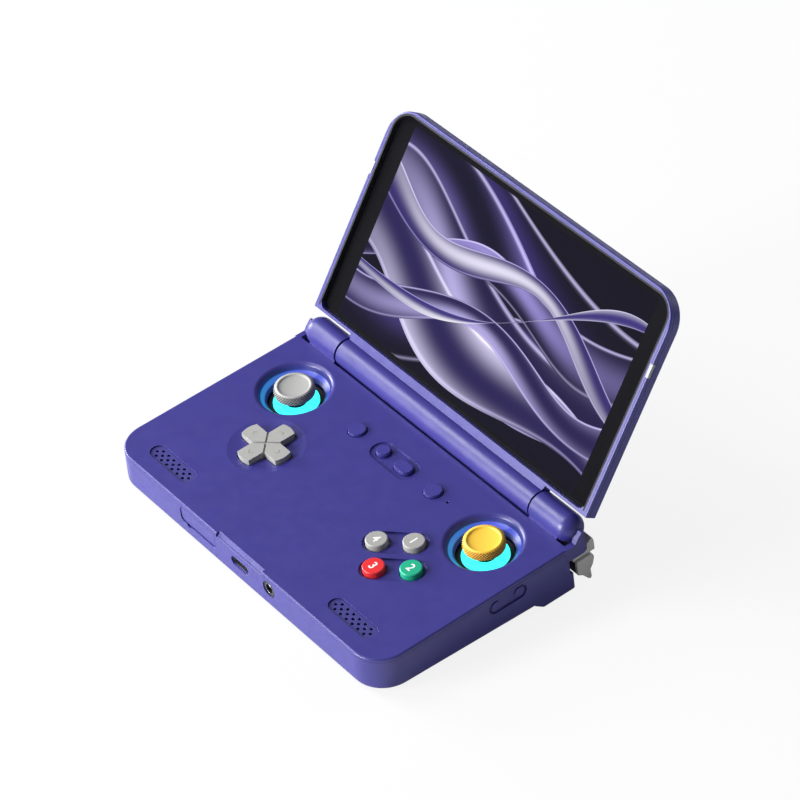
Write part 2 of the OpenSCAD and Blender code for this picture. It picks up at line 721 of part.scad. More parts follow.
module audio_jack() color("#1d1d20") stand() translate([jack_x, 0, -jack_z]) difference() {
  union() {
    translate([-3.2, 1.6, -2.8]) cube([6.4, 11.6, 5.6]);
    translate([0, 2, 0]) rotate([90, 0, 0]) cylinder(h = 1.9, r = 2.9);
  }
  translate([0, 12.1, 0]) rotate([90, 0, 0]) cylinder(h = 14, r = jack_r);
}

// Card socket under the board, open to the front
module card_socket() color("#c3c6cb") stand() translate([-flap_x, 3, -board_z - 2.6]) difference() {
  translate([-7.2, 0, 0]) cube([14.4, 14.6, 1.55]);
  translate([-5.7, -1, 0.3]) cube([11.4, 15, 0.85]);
}

// Front view of the card flap
module flap_outline(grow) {
  l = flap_l + 2 * grow;
  h = flap_h + 2 * grow;
  r = 1.5 + grow;
  square([l - 2 * r, h], center = true);
  square([l, h - 2 * r], center = true);
  for (x = [-1, 1], y = [-1, 1]) translate([x * (l / 2 - r), y * (h / 2 - r)]) circle(r);
}

// Card flap, which swings on its front right edge
module card_flap() color("#4b4696") stand() translate([-flap_x, 0.08, -flap_z]) intersection() {
  translate([-flap_l / 2, 0, -flap_h / 2]) {
    cube([flap_l - flap_t / 2, flap_t, flap_h]);
    translate([flap_l - flap_t / 2, flap_t / 2, 0]) cylinder(h = flap_h, r = flap_t / 2);
  }
  translate([0, flap_t + 1, 0]) rotate([90, 0, 0]) linear_extrude(height = flap_t + 2) flap_outline(0);
}

// ---------- Thumb sticks ----------

// Places a stick's parts at its pivot
module at_stick(s) {
  stand() translate([s * stick_x, stick_y, -stick_pivot]) children();
}

// Lit disc round the stem, flush in the module's top
module glow_ring(s) color("#3cf4ff") at_stick(s) translate([0, 0, stick_pivot - glow_z]) difference() {
  cylinder(h = 0.8, r = glow_r);
  translate([0, 0, -1]) cylinder(h = 3, r = 3.7);
}

// Housing of a stick module, with the bearing of the outer gimbal
module stick_base(s) color("#1b1b1f") at_stick(s) difference() {
  top = stick_pivot - glow_z;
  union() {
    translate([-8.5, -8.5, -3.2]) cube([17, 17, 3.2 + top]);
    translate([0, 0, top]) cylinder(h = 0.45, r = throat_r - 0.3);
  }
  translate([0, 0, top]) cylinder(h = 2, r = glow_r + seat_gap);
  translate([0, 0, -2.9]) cylinder(h = 8, r = 6);
  rod_x(-8, 8, 1 + run_gap);
}

// Outer gimbal: tilts on two stub axles and carries the stem's cross pin
module stick_yoke(s) color("#55555c") at_stick(s) difference() {
  union() {
    translate([-4.2, -3.6, -1.4]) cube([8.4, 7.2, 2.8]);
    rod_x(-7.8, 7.8, 1);
  }
  translate([-2.7, -stem_r - 0.3, -4]) cube([5.4, 2 * stem_r + 0.6, 8]);
  translate([0, 4, 0]) rotate([90, 0, 0]) cylinder(h = 8, r = 0.8 + run_gap);
}

module stick_stem(s) color("#6a6a70") at_stick(s) {
  translate([0, 0, -1.3]) cylinder(h = 1.3 + stick_pivot - 1.3, r = stem_r);
  translate([0, 3.4, 0]) rotate([90, 0, 0]) cylinder(h = 6.8, r = 0.8);
}

// Mushroom cap with a dished top and a socket for the stem
module stick_cap(s) color(s < 0 ? "#b9b9b4" : "#f0c850") at_stick(s) {
  top = stick_pivot + cap_top;
  foot = stick_pivot - 3.6;
  rotate_extrude() difference() {
    polygon(concat([[0, foot], [2.6, foot], [2.6, top - 4.4], [cap_r - 0.9, top - 3.4],
                    [cap_r - 0.1, top - 2.9]],
                   arc([cap_r - 0.8, top - 0.8], 0.8, 0, 70),
                   [[cap_r - 1.6, top - 0.15], [0, top - 0.15]]));
    translate([0, foot - 1]) square([stem_r + run_gap, stick_pivot - 0.8 - foot + 1]);
    polygon([[0, top + 1], [cap_r - 1.75, top + 1], [cap_r - 1.75, top - 0.3], [0, top - 0.6]]);
  }
}

// ---------- Keys on the deck ----------

module direction_pad() color("#b9b9b4") stand() translate([-dpad_x, dpad_y, 0]) difference() {
  union() {
    translate([0, 0, -3.2]) linear_extrude(height = 3.2 + button_top) cross(arm_reach, arm_w);
    translate([0, 0, -3.6]) cylinder(h = 0.5, r = 5.3);
  }
  for (a = [45, 135]) rotate(a) translate([-6, -0.35, button_top - 0.5]) cube([12, 0.7, 1]);
  translate([0, 0, -3.85]) sphere(1.15);
}

module pad_pivot() color("#6a6a70") stand() translate([-dpad_x, dpad_y, -3.85]) sphere(1.1);

// Rubber sheet on the board with one dome for each place
module dome_sheet(spots, dome_r, top) {
  for (p = spots) translate([p[0], p[1], -board_z + 0.3]) cylinder(h = board_z - 0.3 - top, r = dome_r);
}

module pad_membrane() color("#4a4a50") stand() translate([-dpad_x, dpad_y, 0]) difference() {
  union() {
    translate([0, 0, -board_z]) cylinder(h = 0.5, r = 9.8);
    dome_sheet([for (a = [0:90:270]) 7.4 * [cos(a), sin(a)]], 1.8, 4);
  }
  translate([0, 0, -board_z - 1]) cylinder(h = 4, r = 1.6);
}

module face_membrane() color("#4a4a50") stand() {
  translate([0, 0, -board_z]) linear_extrude(height = 0.5) {
    for (i = [0, 2]) pair_recess(face_spots[i], face_spots[(i + 3) % 4], face_r + 0.9);
    pair_recess(face_spots[0], face_spots[2], 2);
  }
  dome_sheet(face_spots, 2, 4.05);
}

module key_membrane() color("#4a4a50") stand() {
  translate([0, row_y, -board_z]) linear_extrude(height = 0.5)
    translate([(row_x[0] + row_x[3]) / 2, 0]) capsule(row_x[3] - row_x[0] + 7, 7);
  dome_sheet([for (x = row_x) [x, row_y]], 1.6, 4.1);
}

module face_button(i, tint) color(tint) stand() translate([face_spots[i][0], face_spots[i][1], 0])
  rotate_extrude() polygon(concat(
    [[0, -3.2], [2, -3.2], [2, -2.5], [face_r + 0.95, -2.5], [face_r + 0.95, -1.75], [face_r, -1.75]],
    arc([face_r - 0.55, button_top - 0.45], 0.45, 0, 80, 6),
    [[0, button_top + 0.02]]));

module function_key(i) color("#46418f") stand() {
  translate([0, 0, -2.2]) linear_extrude(height = 2.2 + key_top - 0.3) key_outline(i, 0);
  translate([0, 0, -2.2]) linear_extrude(height = 2.2 + key_top) key_outline(i, -0.3);
  translate([0, 0, -2.35]) linear_extrude(height = 0.6) key_outline(i, 0.85);
  translate([row_x[i], row_y, -3.55]) cylinder(h = 2, r = 1.4);
}

// Rocker with a thumb pad at each end and a flange behind the wall
module volume_rocker() color("#46418f") stand() translate([body_w / 2, rocker_y, -rocker_z])
  rotate([90, 0, 90]) {
    translate([0, 0, -2]) linear_extrude(height = 1.55) capsule(rocker_l, rocker_h);
    translate([0, 0, -2.4]) linear_extrude(height = 0.5) capsule(rocker_l + 1.2, rocker_h + 0.6);
    for (x = [-1, 1]) translate([x * (rocker_l - rocker_h) / 2, 0, -1]) cylinder(h = 0.95, r = 1.75);
  }

// ---------- Shoulder keys ----------

// Shoulder button: hugs the barrel above it and clears the base's cheek
module shoulder_button(s) color("#9c9c98") stand() mirror([s < 0 ? 1 : 0, 0, 0]) difference() {
  along_x(shoulder_in, shoulder_out) polygon(concat(
    [[pocket_y + 2, -shoulder_low], [pocket_y + 2, -shoulder_top - 0.3], [pocket_y + 2.3, -shoulder_top],
     [hinge_y + 1, -shoulder_top]],
    arc([hinge_y, hinge_z], barrel_room, -68, -40, 5),
    [[shoulder_rear - 0.4, hinge_z - 4.1], [shoulder_rear - 0.1, hinge_z - 5.2],
     [shoulder_rear, hinge_z - 6.6], [shoulder_rear, -shoulder_low]]));
  // Thinned end between the ears, and the pin's bore
  translate([ear_x - 6, pocket_y, -shoulder_top - 0.3]) cube([8.4, 12, 5]);
  translate([ear_x - 6, pocket_y, -shoulder_low - 1.8]) cube([8.4, 12, 2]);
  translate([ear_x, pin_y, -10]) cylinder(h = 10, r = pin_r + run_gap);
  // Room for the cheek beside the barrel
  translate([body_w / 2 - cheek_t - 0.3, pocket_y, -cheek_low - 0.3])
    cube([cheek_t + 1, cheek_y + 0.9 - pocket_y, 10]);
}

module shoulder_pin_set(r) for (s = [-1, 1])
  translate([s * ear_x, pin_y, -pin_low]) cylinder(h = pin_low - pin_high, r = r);

module shoulder_pins() color("#c8cace") stand() shoulder_pin_set(pin_r);

module trigger_pins() color("#c8cace") stand() for (s = [0, 1]) mirror([s, 0, 0])
  translate([0, pin_y, -pin_z]) rod_x(lug_in - 1.8, lug_out + 1.8, pin_r);

// Hooked trigger, hollow and open at the front, with two ribs on its pin
module trigger(s) color("#b9b9b4") stand() mirror([s < 0 ? 1 : 0, 0, 0]) {
  x1 = body_w / 2;
  y0 = body_d + 1.8;
  z0 = -trigger_top;
  shape = [[0, 0], [5.7, 0], [6.5, -0.6], [6.7, -1.8], [6, -4.2], [4.9, -5.8], [5.1, -8.9],
           [4.7, -9.6], [3.7, -9], [1.7, -6.4], [0, -5.4]];
  room = [[-1, -0.9], [5.5, -0.9], [5.7, -1.8], [5.1, -3.8], [4, -5], [1.8, -5.3], [-1, -4.3]];
  difference() {
    along_x(trigger_x, x1) translate([y0, z0]) polygon(shape);
    along_x(trigger_x + 1.2, x1 - 1.2) translate([y0, z0]) polygon(room);
  }
  for (x = [lug_in - 1.6, lug_out + 0.4]) difference() {
    along_x(x, x + 1.2) translate([y0, z0]) polygon(shape);
    translate([0, pin_y, -pin_z]) rod_x(x - 1, x + 3, pin_r + run_gap);
  }
}

// ---------- Hinge ----------

module hinge_cartridge(s) color("#9a9ca2") stand() translate([0, hinge_y, hinge_z])
  mirror([s < 0 ? 1 : 0, 0, 0]) difference() {
    rod_x(cartridge_in, cartridge_in + cartridge_l, cartridge_r);
    rod_x(barrel_in, barrel_in + pin_in_lid + 0.3, hinge_pin_r + run_gap);
  }

module hinge_pin(s) color("#c8cace") on_lid() mirror([s < 0 ? 1 : 0, 0, 0])
  rod_x(lid_barrel_l / 2 - pin_in_lid, barrel_in + pin_in_lid, hinge_pin_r);

// ---------- Lid ----------

// Where the lid may be: down to the neck in the middle, clear of the base's barrels beside it
module lid_room(inset) {
  translate([inset - neck_w / 2, lid_in + inset]) square([neck_w - 2 * inset, 20]);
  translate([-body_w, lid_foot + inset]) square([2 * body_w, 2 * lid_reach]);
}

// Solid lid body between two heights, less an inset, with its edge at z0 rounded
module lid_slab(z0, z1, inset, e) {
  intersection() {
    translate([0, lid_reach - inset, z0]) mirror([0, 1, 0]) mirror([0, 0, 1])
      soft_slab(lid_w - 2 * inset, lid_reach + 15, z1 - z0, lid_corner_r - inset, e);
    translate([0, 0, -20]) linear_extrude(height = 40) lid_room(inset);
  }
}

module lid_cover() color("#4b4696") on_lid() difference() {
  lid_slab(-lid_back, lid_seam - seam_gap, 0, lid_edge_r);
  lid_slab(-lid_inside, 5, lid_wall, lid_edge_r - lid_wall);
  // Room for the neck of the centre barrel
  translate([-lid_barrel_l / 2 - seat_gap, 0, -lid_inside]) cube([lid_barrel_l + 2 * seat_gap, 9, 10]);
}

module lid_frame() color("#4b4696") on_lid() difference() {
  step_low = lid_inside - 0.2;
  step_in = lid_wall + seat_gap;
  union() {
    difference() {
      // Rim, and the step inside the cover
      union() {
        mirror([0, 0, 1]) lid_slab(-rim_h, -lid_seam, 0, 0.5);
        translate([0, 0, -step_low]) linear_extrude(height = step_low + lid_seam + 0.2) intersection() {
          lid_outline(lid_w - 2 * step_in, lid_in, lid_reach - step_in, 0.6, lid_corner_r - lid_wall);
          lid_room(step_in);
        }
      }
      // Seat of the cover glass and room for the panel
      translate([0, 0, -glass_back]) linear_extrude(height = 4)
        lid_outline(glass_w + 2 * seat_gap, glass_in - seat_gap, glass_out + seat_gap, 3.1, 7.1);
      translate([0, 0, -lid_back]) linear_extrude(height = 2 * lid_back)
        lid_outline(picture_w + 6 + 2 * seat_gap, glass_in + 0.6, glass_out - 0.8, 1, 5);
    }
    // Neck and centre barrel
    along_x(-lid_barrel_l / 2, lid_barrel_l / 2)
      polygon([[0, -step_low], [lid_in + lid_wall, -step_low], [glass_in - seat_gap, -glass_back],
               [glass_in - seat_gap, -glass_drop], [glass_in - 0.8, rim_h - 0.15], [0, rim_h - 0.15]]);
    rod_x(-lid_barrel_l / 2, lid_barrel_l / 2, lid_barrel_r);
  }
  // Cable way through the barrel and the hinge pins' seats
  rod_x(-lid_barrel_l / 2 + pin_in_lid + 2, lid_barrel_l / 2 - pin_in_lid - 2, 2.6);
  rod_x(-lid_barrel_l, lid_barrel_l, hinge_pin_r + 0.01);
  for (s = [-1, 1]) buffer_block(s, 0.05, 1);
}

// Block of a soft buffer in a side rim, grown all round, standing out of the rim
module buffer_block(s, grow, out) {
  translate([s * (lid_w / 2 - 0.55), buffer_y, rim_h - 0.9]) linear_extrude(height = 0.9 + out)
    square([1.1 + 2 * grow, 4.6 + 2 * grow], center = true);
}

module lid_buffers() color("#a9aca8") on_lid() for (s = [-1, 1]) buffer_block(s, 0, buffer_up);

module display_panel() color("#1a1528") on_lid() translate([0, 0, -glass_back - panel_t])
  linear_extrude(height = panel_t)
    lid_outline(picture_w + 6, glass_in + 0.7, glass_out - 0.9, 1, 5);

module cover_glass() color("#141416") on_lid() translate([0, 0, -glass_back])
  linear_extrude(height = glass_t) lid_outline(glass_w, glass_in, glass_out, 3, 7);

// Screws of the case, driven from below
module case_screws() color("#8e9096") stand() for (p = screw_spots) translate([p[0], p[1], -screw_seat]) {
  difference() {
    translate([0, 0, -0.9]) cylinder(h = 0.9, r = screw_head_r);
    for (a = [0, 90]) rotate(a) translate([-0.9, -0.15, -1]) cube([1.8, 0.3, 0.5]);
  }
  cylinder(h = 7.4, r = screw_r);
}

deck_shell();
bottom_shell();
speaker_grille(-1);  // left_speaker_grille
speaker_grille(1);  // right_speaker_grille
speaker(-1);  // left_speaker
speaker(1);  // right_speaker
main_board();
battery();
fan_housing();
fan_rotor();
heat_sink();
usb_c_socket();
audio_jack();
card_socket();
card_flap();
glow_ring(-1);  // left_glow_ring
glow_ring(1);  // right_glow_ring
stick_base(-1);  // left_stick_base
stick_base(1);  // right_stick_base
stick_yoke(-1);  // left_stick_yoke
stick_yoke(1);  // right_stick_yoke
stick_stem(-1);  // left_stick_stem
stick_stem(1);  // right_stick_stem
stick_cap(-1);  // left_stick_cap
stick_cap(1);  // right_stick_cap
direction_pad();
pad_pivot();
pad_membrane();
face_button(0, "#b9b9b4");  // north_button
face_button(1, "#3fb88c");  // east_button
face_button(2, "#e33c38");  // south_button
face_button(3, "#b9b9b4");  // west_button
face_membrane();
function_key(0);  // left_key
function_key(1);  // small_key
function_key(2);  // oval_key
function_key(3);  // right_key
key_membrane();
volume_rocker();
shoulder_button(-1);  // left_shoulder_button
shoulder_button(1);  // right_shoulder_button
trigger(-1);  // left_trigger
trigger(1);  // right_trigger
shoulder_pins();
trigger_pins();
hinge_cartridge(-1);  // left_hinge_cartridge
hinge_cartridge(1);  // right_hinge_cartridge
hinge_pin(-1);  // left_hinge_pin
hinge_pin(1);  // right_hinge_pin
rubber_feet();
case_screws();
lid_frame();
lid_cover();
display_panel();
cover_glass();
lid_buffers();
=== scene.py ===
"""Dress the clamshell handheld console: finishes, fine pieces, light and camera."""

import json
import logging
import math
from dataclasses import dataclass
from enum import Enum
from functools import cache
from typing import Any, Callable, ClassVar, Iterable, Sequence

import bmesh
import bpy
from mathutils import Matrix, Vector

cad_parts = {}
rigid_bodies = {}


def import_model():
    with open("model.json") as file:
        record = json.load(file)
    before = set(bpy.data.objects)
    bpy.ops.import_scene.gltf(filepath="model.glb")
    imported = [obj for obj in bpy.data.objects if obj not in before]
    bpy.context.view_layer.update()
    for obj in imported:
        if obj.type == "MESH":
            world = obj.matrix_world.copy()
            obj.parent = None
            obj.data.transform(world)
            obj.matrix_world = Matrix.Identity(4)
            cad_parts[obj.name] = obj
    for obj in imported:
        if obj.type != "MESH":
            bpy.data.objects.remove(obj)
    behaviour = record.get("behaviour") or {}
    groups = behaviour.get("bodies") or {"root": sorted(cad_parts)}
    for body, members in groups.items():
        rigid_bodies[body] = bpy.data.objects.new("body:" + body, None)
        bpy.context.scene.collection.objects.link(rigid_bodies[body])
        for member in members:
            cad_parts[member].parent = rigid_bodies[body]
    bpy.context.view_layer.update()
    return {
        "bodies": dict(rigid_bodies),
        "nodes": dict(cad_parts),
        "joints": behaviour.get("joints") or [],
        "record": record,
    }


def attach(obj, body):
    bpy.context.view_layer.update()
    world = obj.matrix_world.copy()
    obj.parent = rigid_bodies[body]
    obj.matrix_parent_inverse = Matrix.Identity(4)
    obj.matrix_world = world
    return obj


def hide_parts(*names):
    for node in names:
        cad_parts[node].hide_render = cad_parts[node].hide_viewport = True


LOG = logging.getLogger("console")
MM = 0.001
# The closed lid rests this many degrees short of parallel to the deck
SHORT_OF_FLAT = 0.45
# Nearly all of a noise lies between these values
NOISE_LOW, NOISE_HIGH = 0.3, 0.7
# Sockets of a colour Mix node: share, first and second colour, and the mixed colour
SHARE, FIRST, SECOND, MIXED = 0, 6, 7, 2

Frame = dict[str, Any]
Point = tuple[float, float, float]
Spot = tuple[float, float]
Colour = tuple[float, float, float, float]
Nodes = dict[str, bpy.types.Object]
Socket = bpy.types.NodeSocket
Inputs = dict[str, Any]


# ---------------------------------------------------------------- frames


@dataclass(frozen=True)
class Stance:
    """How the deck and the lid stand in the world, read from the joints."""

    pitch: float
    lean: float
    hinge: Vector
    hinge_y: float = 81.2
    hinge_z: float = 1.85
    glass_z: float = -0.35

    @classmethod
    def read(cls, frame: Frame) -> "Stance":
        """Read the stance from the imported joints.


        Returns:
            The pitch of the deck, the lean of the lid and the hinge's place.
        """
        joints = {joint["name"]: joint for joint in frame["joints"]}
        down = joints["north_press"]["axis"]
        lid = joints["lid_hinge"]
        return cls(
            pitch=math.atan2(down[1], -down[2]),
            lean=math.radians(180.0 - SHORT_OF_FLAT - lid["range_deg"][1]),
            hinge=Vector(lid["pos_m"]),
        )

    def deck(self) -> Matrix:
        """Matrix from the deck's frame, in metres, to the world."""
        back = Matrix.Translation((0.0, -self.hinge_y * MM, -self.hinge_z * MM))
        return Matrix.Translation(self.hinge) @ Matrix.Rotation(self.pitch, 4, "X") @ back

    def lid(self) -> Matrix:
        """Matrix from the lid's frame (Y from the hinge, Z out of the glass) to the world."""
        return Matrix.Translation(self.hinge) @ Matrix.Rotation(self.pitch + self.lean, 4, "X")


# ---------------------------------------------------------------- nodes and colours


def linear(hex_code: str) -> Colour:
    """Turn an sRGB hex colour into linear values.

    Args:
        hex_code: six hex digits.

    Returns:
        Linear red, green and blue, and an alpha of 1.
    """
    values = []
    for start in (0, 2, 4):
        value = int(hex_code[start : start + 2], 16) / 255.0
        values.append(value / 12.92 if value <= 0.04045 else ((value + 0.055) / 1.055) ** 2.4)
    return values[0], values[1], values[2], 1.0


def tone(colour: Colour, factor: float, lift: float = 0.0) -> Colour:
    """Make a colour lighter or darker.

    Args:
        colour: linear colour.
        factor: what each channel is multiplied by.
        lift: what is then added to it.

    Returns:
        The new colour, with no channel over 1.
    """
    red, green, blue = (min(1.0, channel * factor + lift) for channel in colour[:3])
    return red, green, blue, 1.0


def add(
    tree: bpy.types.NodeTree,
    kind: str,
    inputs: dict[Any, Any] | None = None,
    **settings: Any,
) -> bpy.types.Node:
    """Add a node with its settings, values and links.

    Args:
        tree: the node tree.
        kind: the node's class name.
        inputs: socket name or index to a value, or to the socket that feeds it.
        settings: attributes of the node.

    Returns:
        The new node.
    """
    node = tree.nodes.new(kind)
    for name, value in settings.items():
        setattr(node, name, value)
    for key, value in (inputs or {}).items():
        if isinstance(value, bpy.types.NodeSocket):
            tree.links.new(value, node.inputs[key])
        else:
            node.inputs[key].default_value = value
    return node


def blank_material(name: str) -> tuple[bpy.types.Material, bpy.types.NodeTree]:
    """Make an empty node material.

    Args:
        name: the material's name.

    Returns:
        The material and its tree.
    """
    material = bpy.data.materials.new(name)
    material.use_nodes = True
    material.node_tree.nodes.clear()
    return material, material.node_tree


def vary(tree: bpy.types.NodeTree, noise: bpy.types.Node, low: Any, high: Any) -> Socket:
    """Let a number or a colour go with a noise.

    Args:
        tree: the node tree.
        noise: the noise node.
        low: number or colour where the noise is low.
        high: number or colour where the noise is high.

    Returns:
        The socket of the number or colour.
    """
    tinted = isinstance(low, tuple)
    ends = {"To Min": 0.0, "To Max": 1.0} if tinted else {"To Min": low, "To Max": high}
    levels = {"Value": noise.outputs["Fac"], "From Min": NOISE_LOW, "From Max": NOISE_HIGH} | ends
    level = add(tree, "ShaderNodeMapRange", levels).outputs["Result"]
    if not tinted:
        return level
    mix = add(tree, "ShaderNodeMix", {SHARE: level, FIRST: low, SECOND: high}, data_type="RGBA")
    return mix.outputs[MIXED]


# ---------------------------------------------------------------- finishes


@dataclass(frozen=True)
class Finish:
    """A finish of one surface shader, with its patterns in the piece's own coordinates."""

    name: str

    def make(self) -> bpy.types.Material:
        """Build the material.

        Returns:
            The material.
        """
        material, tree = blank_material(self.name)
        place = add(tree, "ShaderNodeTexCoord").outputs["Object"]
        shader = add(tree, "ShaderNodeBsdfPrincipled", self.surface(tree, place))
        add(tree, "ShaderNodeOutputMaterial", {"Surface": shader.outputs[0]})
        return material

    def surface(self, tree: bpy.types.NodeTree, place: Socket) -> Inputs:
        """Inputs of the surface shader, which each finish makes its own way."""
        raise NotImplementedError


@dataclass(frozen=True)
class MouldedPlastic(Finish):
    """Injection-moulded ABS with a spark-eroded texture: soft sheen, faint grain, no flow lines.

    The real grain is too fine to show, so it is drawn as coarse as it needs to be.
    """

    colour: str
    roughness: float = 0.46
    grain_mm: float = 0.35
    depth_mm: float = 0.006
    mottle: float = 0.05
    edge_mm: float = 0.14
    gleam: float = 0.5
    cloud_mm: float = 9.0
    sheen_mm: float = 4.0

    def surface(self, tree: bpy.types.NodeTree, place: Socket) -> Inputs:
        """Faint clouds in colour and sheen, a fine grain and softened edges.

        Args:
            tree: the node tree.
            place: the coordinate socket, in metres.

        Returns:
            Inputs of the surface shader.
        """
        base = linear(self.colour)
        cloud, fine, sheen = (
            add(tree, "ShaderNodeTexNoise", {"Vector": place, "Scale": 1000.0 / size, "Detail": detail})
            for size, detail in ((self.cloud_mm, 4.0), (self.grain_mm, 1.0), (self.sheen_mm, 3.0))
        )
        edge = add(tree, "ShaderNodeBevel", {"Radius": self.edge_mm * MM}, samples=4)
        relief = {
            "Height": fine.outputs["Fac"],
            "Distance": self.depth_mm * MM,
            "Strength": 0.6,
            "Normal": edge.outputs[0],
        }
        return {
            "Base Color": vary(tree, cloud, tone(base, 1.0 - self.mottle), tone(base, 1.0 + self.mottle)),
            "Roughness": vary(tree, sheen, self.roughness - 0.03, self.roughness + 0.04),
            "IOR": 1.53,
            "Specular IOR Level": self.gleam,
            "Normal": add(tree, "ShaderNodeBump", relief).outputs["Normal"],
        }


@dataclass(frozen=True)
class KnurledPlastic(MouldedPlastic):
    """Moulded nylon with a diamond knurl: matt points, with painted shade darkening the grooves between them."""

    groove_shade: str = "6a6a68"

    def surface(self, tree: bpy.types.NodeTree, place: Socket) -> Inputs:
        """Plain plastic with painted shade in the grooves, which the mesh marks.

        Args:
            tree: the node tree.
            place: the coordinate socket, in metres.

        Returns:
            Inputs of the surface shader.
        """
        depth = add(tree, "ShaderNodeAttribute", attribute_name="groove_shade").outputs["Fac"]
        tints = {SHARE: depth, FIRST: linear(self.colour), SECOND: linear(self.groove_shade)}
        mix = add(tree, "ShaderNodeMix", tints, data_type="RGBA")
        return super().surface(tree, place) | {"Base Color": mix.outputs[MIXED]}


@dataclass(frozen=True)
class PaintedWellGlowPlastic(MouldedPlastic):
    """The shell's plastic with the stick wells, with a painted blue glow on each well's lower cone that stands
    in for the guides' spill light.

    The band's four heights, in millimetres, are where the painted glow starts, is full, fades and ends.
    """

    turn: float = 0.0
    shift: Point = (0.0, 0.0, 0.0)
    well_x: float = 50.0
    well_y: float = 59.0
    reach: float = 13.0
    side_mm: float = 9.0
    # Painted glow: its band of heights, its colours from the well's near side to its far side, and its strength
    band: tuple[float, float, float, float] = (-3.75, -3.3, -2.45, -2.0)
    painted_glow_near: str = "2aa0e4"
    painted_glow_far: str = "4a62f0"
    strength: float = 0.6

    def surface(self, tree: bpy.types.NodeTree, place: Socket) -> Inputs:
        """Plain plastic with a painted blue glow band round the lower cone of each well.

        Args:
            tree: the node tree.
            place: the coordinate socket, in metres.

        Returns:
            Inputs of the surface shader.
        """
        frame = {"Vector": place, "Rotation": (self.turn, 0.0, 0.0), "Location": self.shift}
        deck = add(tree, "ShaderNodeMapping", frame)
        axis = add(tree, "ShaderNodeSeparateXYZ", {0: deck.outputs[0]})
        mirror = add(tree, "ShaderNodeMath", {0: axis.outputs["X"]}, operation="ABSOLUTE")
        spot = add(tree, "ShaderNodeCombineXYZ", {0: mirror.outputs[0], 1: axis.outputs["Y"]})
        centre = (self.well_x * MM, self.well_y * MM, 0.0)
        away = add(tree, "ShaderNodeVectorMath", {0: spot.outputs[0], 1: centre}, operation="DISTANCE")
        within = {0: away.outputs["Value"], 1: self.reach * MM}
        share = add(tree, "ShaderNodeMath", within, operation="LESS_THAN").outputs[0]
        low, full, fade, high = (height * MM for height in self.band)
        for start, end in ((low, full), (high, fade)):
            rise = {"Value": axis.outputs["Z"], "From Min": start, "From Max": end}
            step = add(tree, "ShaderNodeMapRange", rise, interpolation_type="SMOOTHSTEP")
            both = {0: share, 1: step.outputs[0]}
            share = add(tree, "ShaderNodeMath", both, operation="MULTIPLY").outputs[0]
        near, far = ((self.well_y + sign * self.side_mm) * MM for sign in (-1.0, 1.0))
        across = {"Value": axis.outputs["Y"], "From Min": near, "From Max": far}
        side = add(tree, "ShaderNodeMapRange", across).outputs[0]
        tints = {SHARE: side, FIRST: linear(self.painted_glow_near), SECOND: linear(self.painted_glow_far)}
        tint = add(tree, "ShaderNodeMix", tints, data_type="RGBA").outputs[MIXED]
        # The painted glow is given as emission from the shell itself
        power = add(tree, "ShaderNodeMath", {0: share, 1: self.strength}, operation="MULTIPLY")
        return super().surface(tree, place) | {
            "Emission Color": tint,
            "Emission Strength": power.outputs[0],
        }


@dataclass(frozen=True)
class LitPlastic(Finish):
    """Moulded milky light guide, lit from below: even all round, with faint clouds."""

    colour: str
    strength: float
    cloud_mm: float = 2.5

    def surface(self, tree: bpy.types.NodeTree, place: Socket) -> Inputs:
        """A clouded colour that gives its own light.

        Args:
            tree: the node tree.
            place: the coordinate socket, in metres.

        Returns:
            Inputs of the surface shader.
        """
        base = linear(self.colour)
        blobs = {"Vector": place, "Scale": 1000.0 / self.cloud_mm, "Detail": 3.0}
        colour = vary(tree, add(tree, "ShaderNodeTexNoise", blobs), base, tone(base, 1.1, 0.02))
        return {
            "Base Color": colour,
            "Roughness": 0.35,
            "IOR": 1.49,
            "Emission Color": colour,
            "Emission Strength": self.strength,
        }


@dataclass(frozen=True)
class TurnedMetal(Finish):
    """Machined or drawn metal: fine streaks along one direction that stretch the highlights.

    The real streaks are too fine to show, so they are drawn about four times as coarse.
    """

    colour: str
    roughness: float = 0.3
    streak_mm: float = 0.32
    stretch: float = 30.0

    def surface(self, tree: bpy.types.NodeTree, place: Socket) -> Inputs:
        """Streaks along X in colour, gloss and relief.

        Args:
            tree: the node tree.
            place: the coordinate socket, in metres.

        Returns:
            Inputs of the surface shader.
        """
        along = {"Vector": place, "Scale": (1.0 / self.stretch, 1.0, 1.0)}
        turned = add(tree, "ShaderNodeMapping", along).outputs[0]
        lines = {"Vector": turned, "Scale": 1000.0 / self.streak_mm, "Detail": 3.0}
        streak = add(tree, "ShaderNodeTexNoise", lines)
        relief = {"Height": streak.outputs["Fac"], "Distance": 0.004 * MM, "Strength": 0.5}
        base = linear(self.colour)
        return {
            "Base Color": vary(tree, streak, tone(base, 0.82), base),
            "Metallic": 1.0,
            "Roughness": vary(tree, streak, self.roughness - 0.06, self.roughness + 0.08),
            "Normal": add(tree, "ShaderNodeBump", relief).outputs["Normal"],
        }


@dataclass(frozen=True)
class MouldedRubber(Finish):
    """Moulded silicone or natural rubber: dull, with a slightly dusty grain and no clear highlight."""

    colour: str
    roughness: float = 0.8
    cloud_mm: float = 3.0
    dust_mm: float = 0.25

    def surface(self, tree: bpy.types.NodeTree, place: Socket) -> Inputs:
        """Dusty clouds in colour and gloss, and a fine grain.

        Args:
            tree: the node tree.
            place: the coordinate socket, in metres.

        Returns:
            Inputs of the surface shader.
        """
        cloud, dust = (
            add(tree, "ShaderNodeTexNoise", {"Vector": place, "Scale": 1000.0 / size, "Detail": detail})
            for size, detail in ((self.cloud_mm, 4.0), (self.dust_mm, 2.0))
        )
        relief = {"Height": dust.outputs["Fac"], "Distance": 0.02 * MM, "Strength": 0.5}
        base = linear(self.colour)
        return {
            "Base Color": vary(tree, cloud, base, tone(base, 1.15, 0.004)),
            "Roughness": vary(tree, cloud, self.roughness - 0.05, self.roughness + 0.05),
            "IOR": 1.5,
            "Normal": add(tree, "ShaderNodeBump", relief).outputs["Normal"],
        }


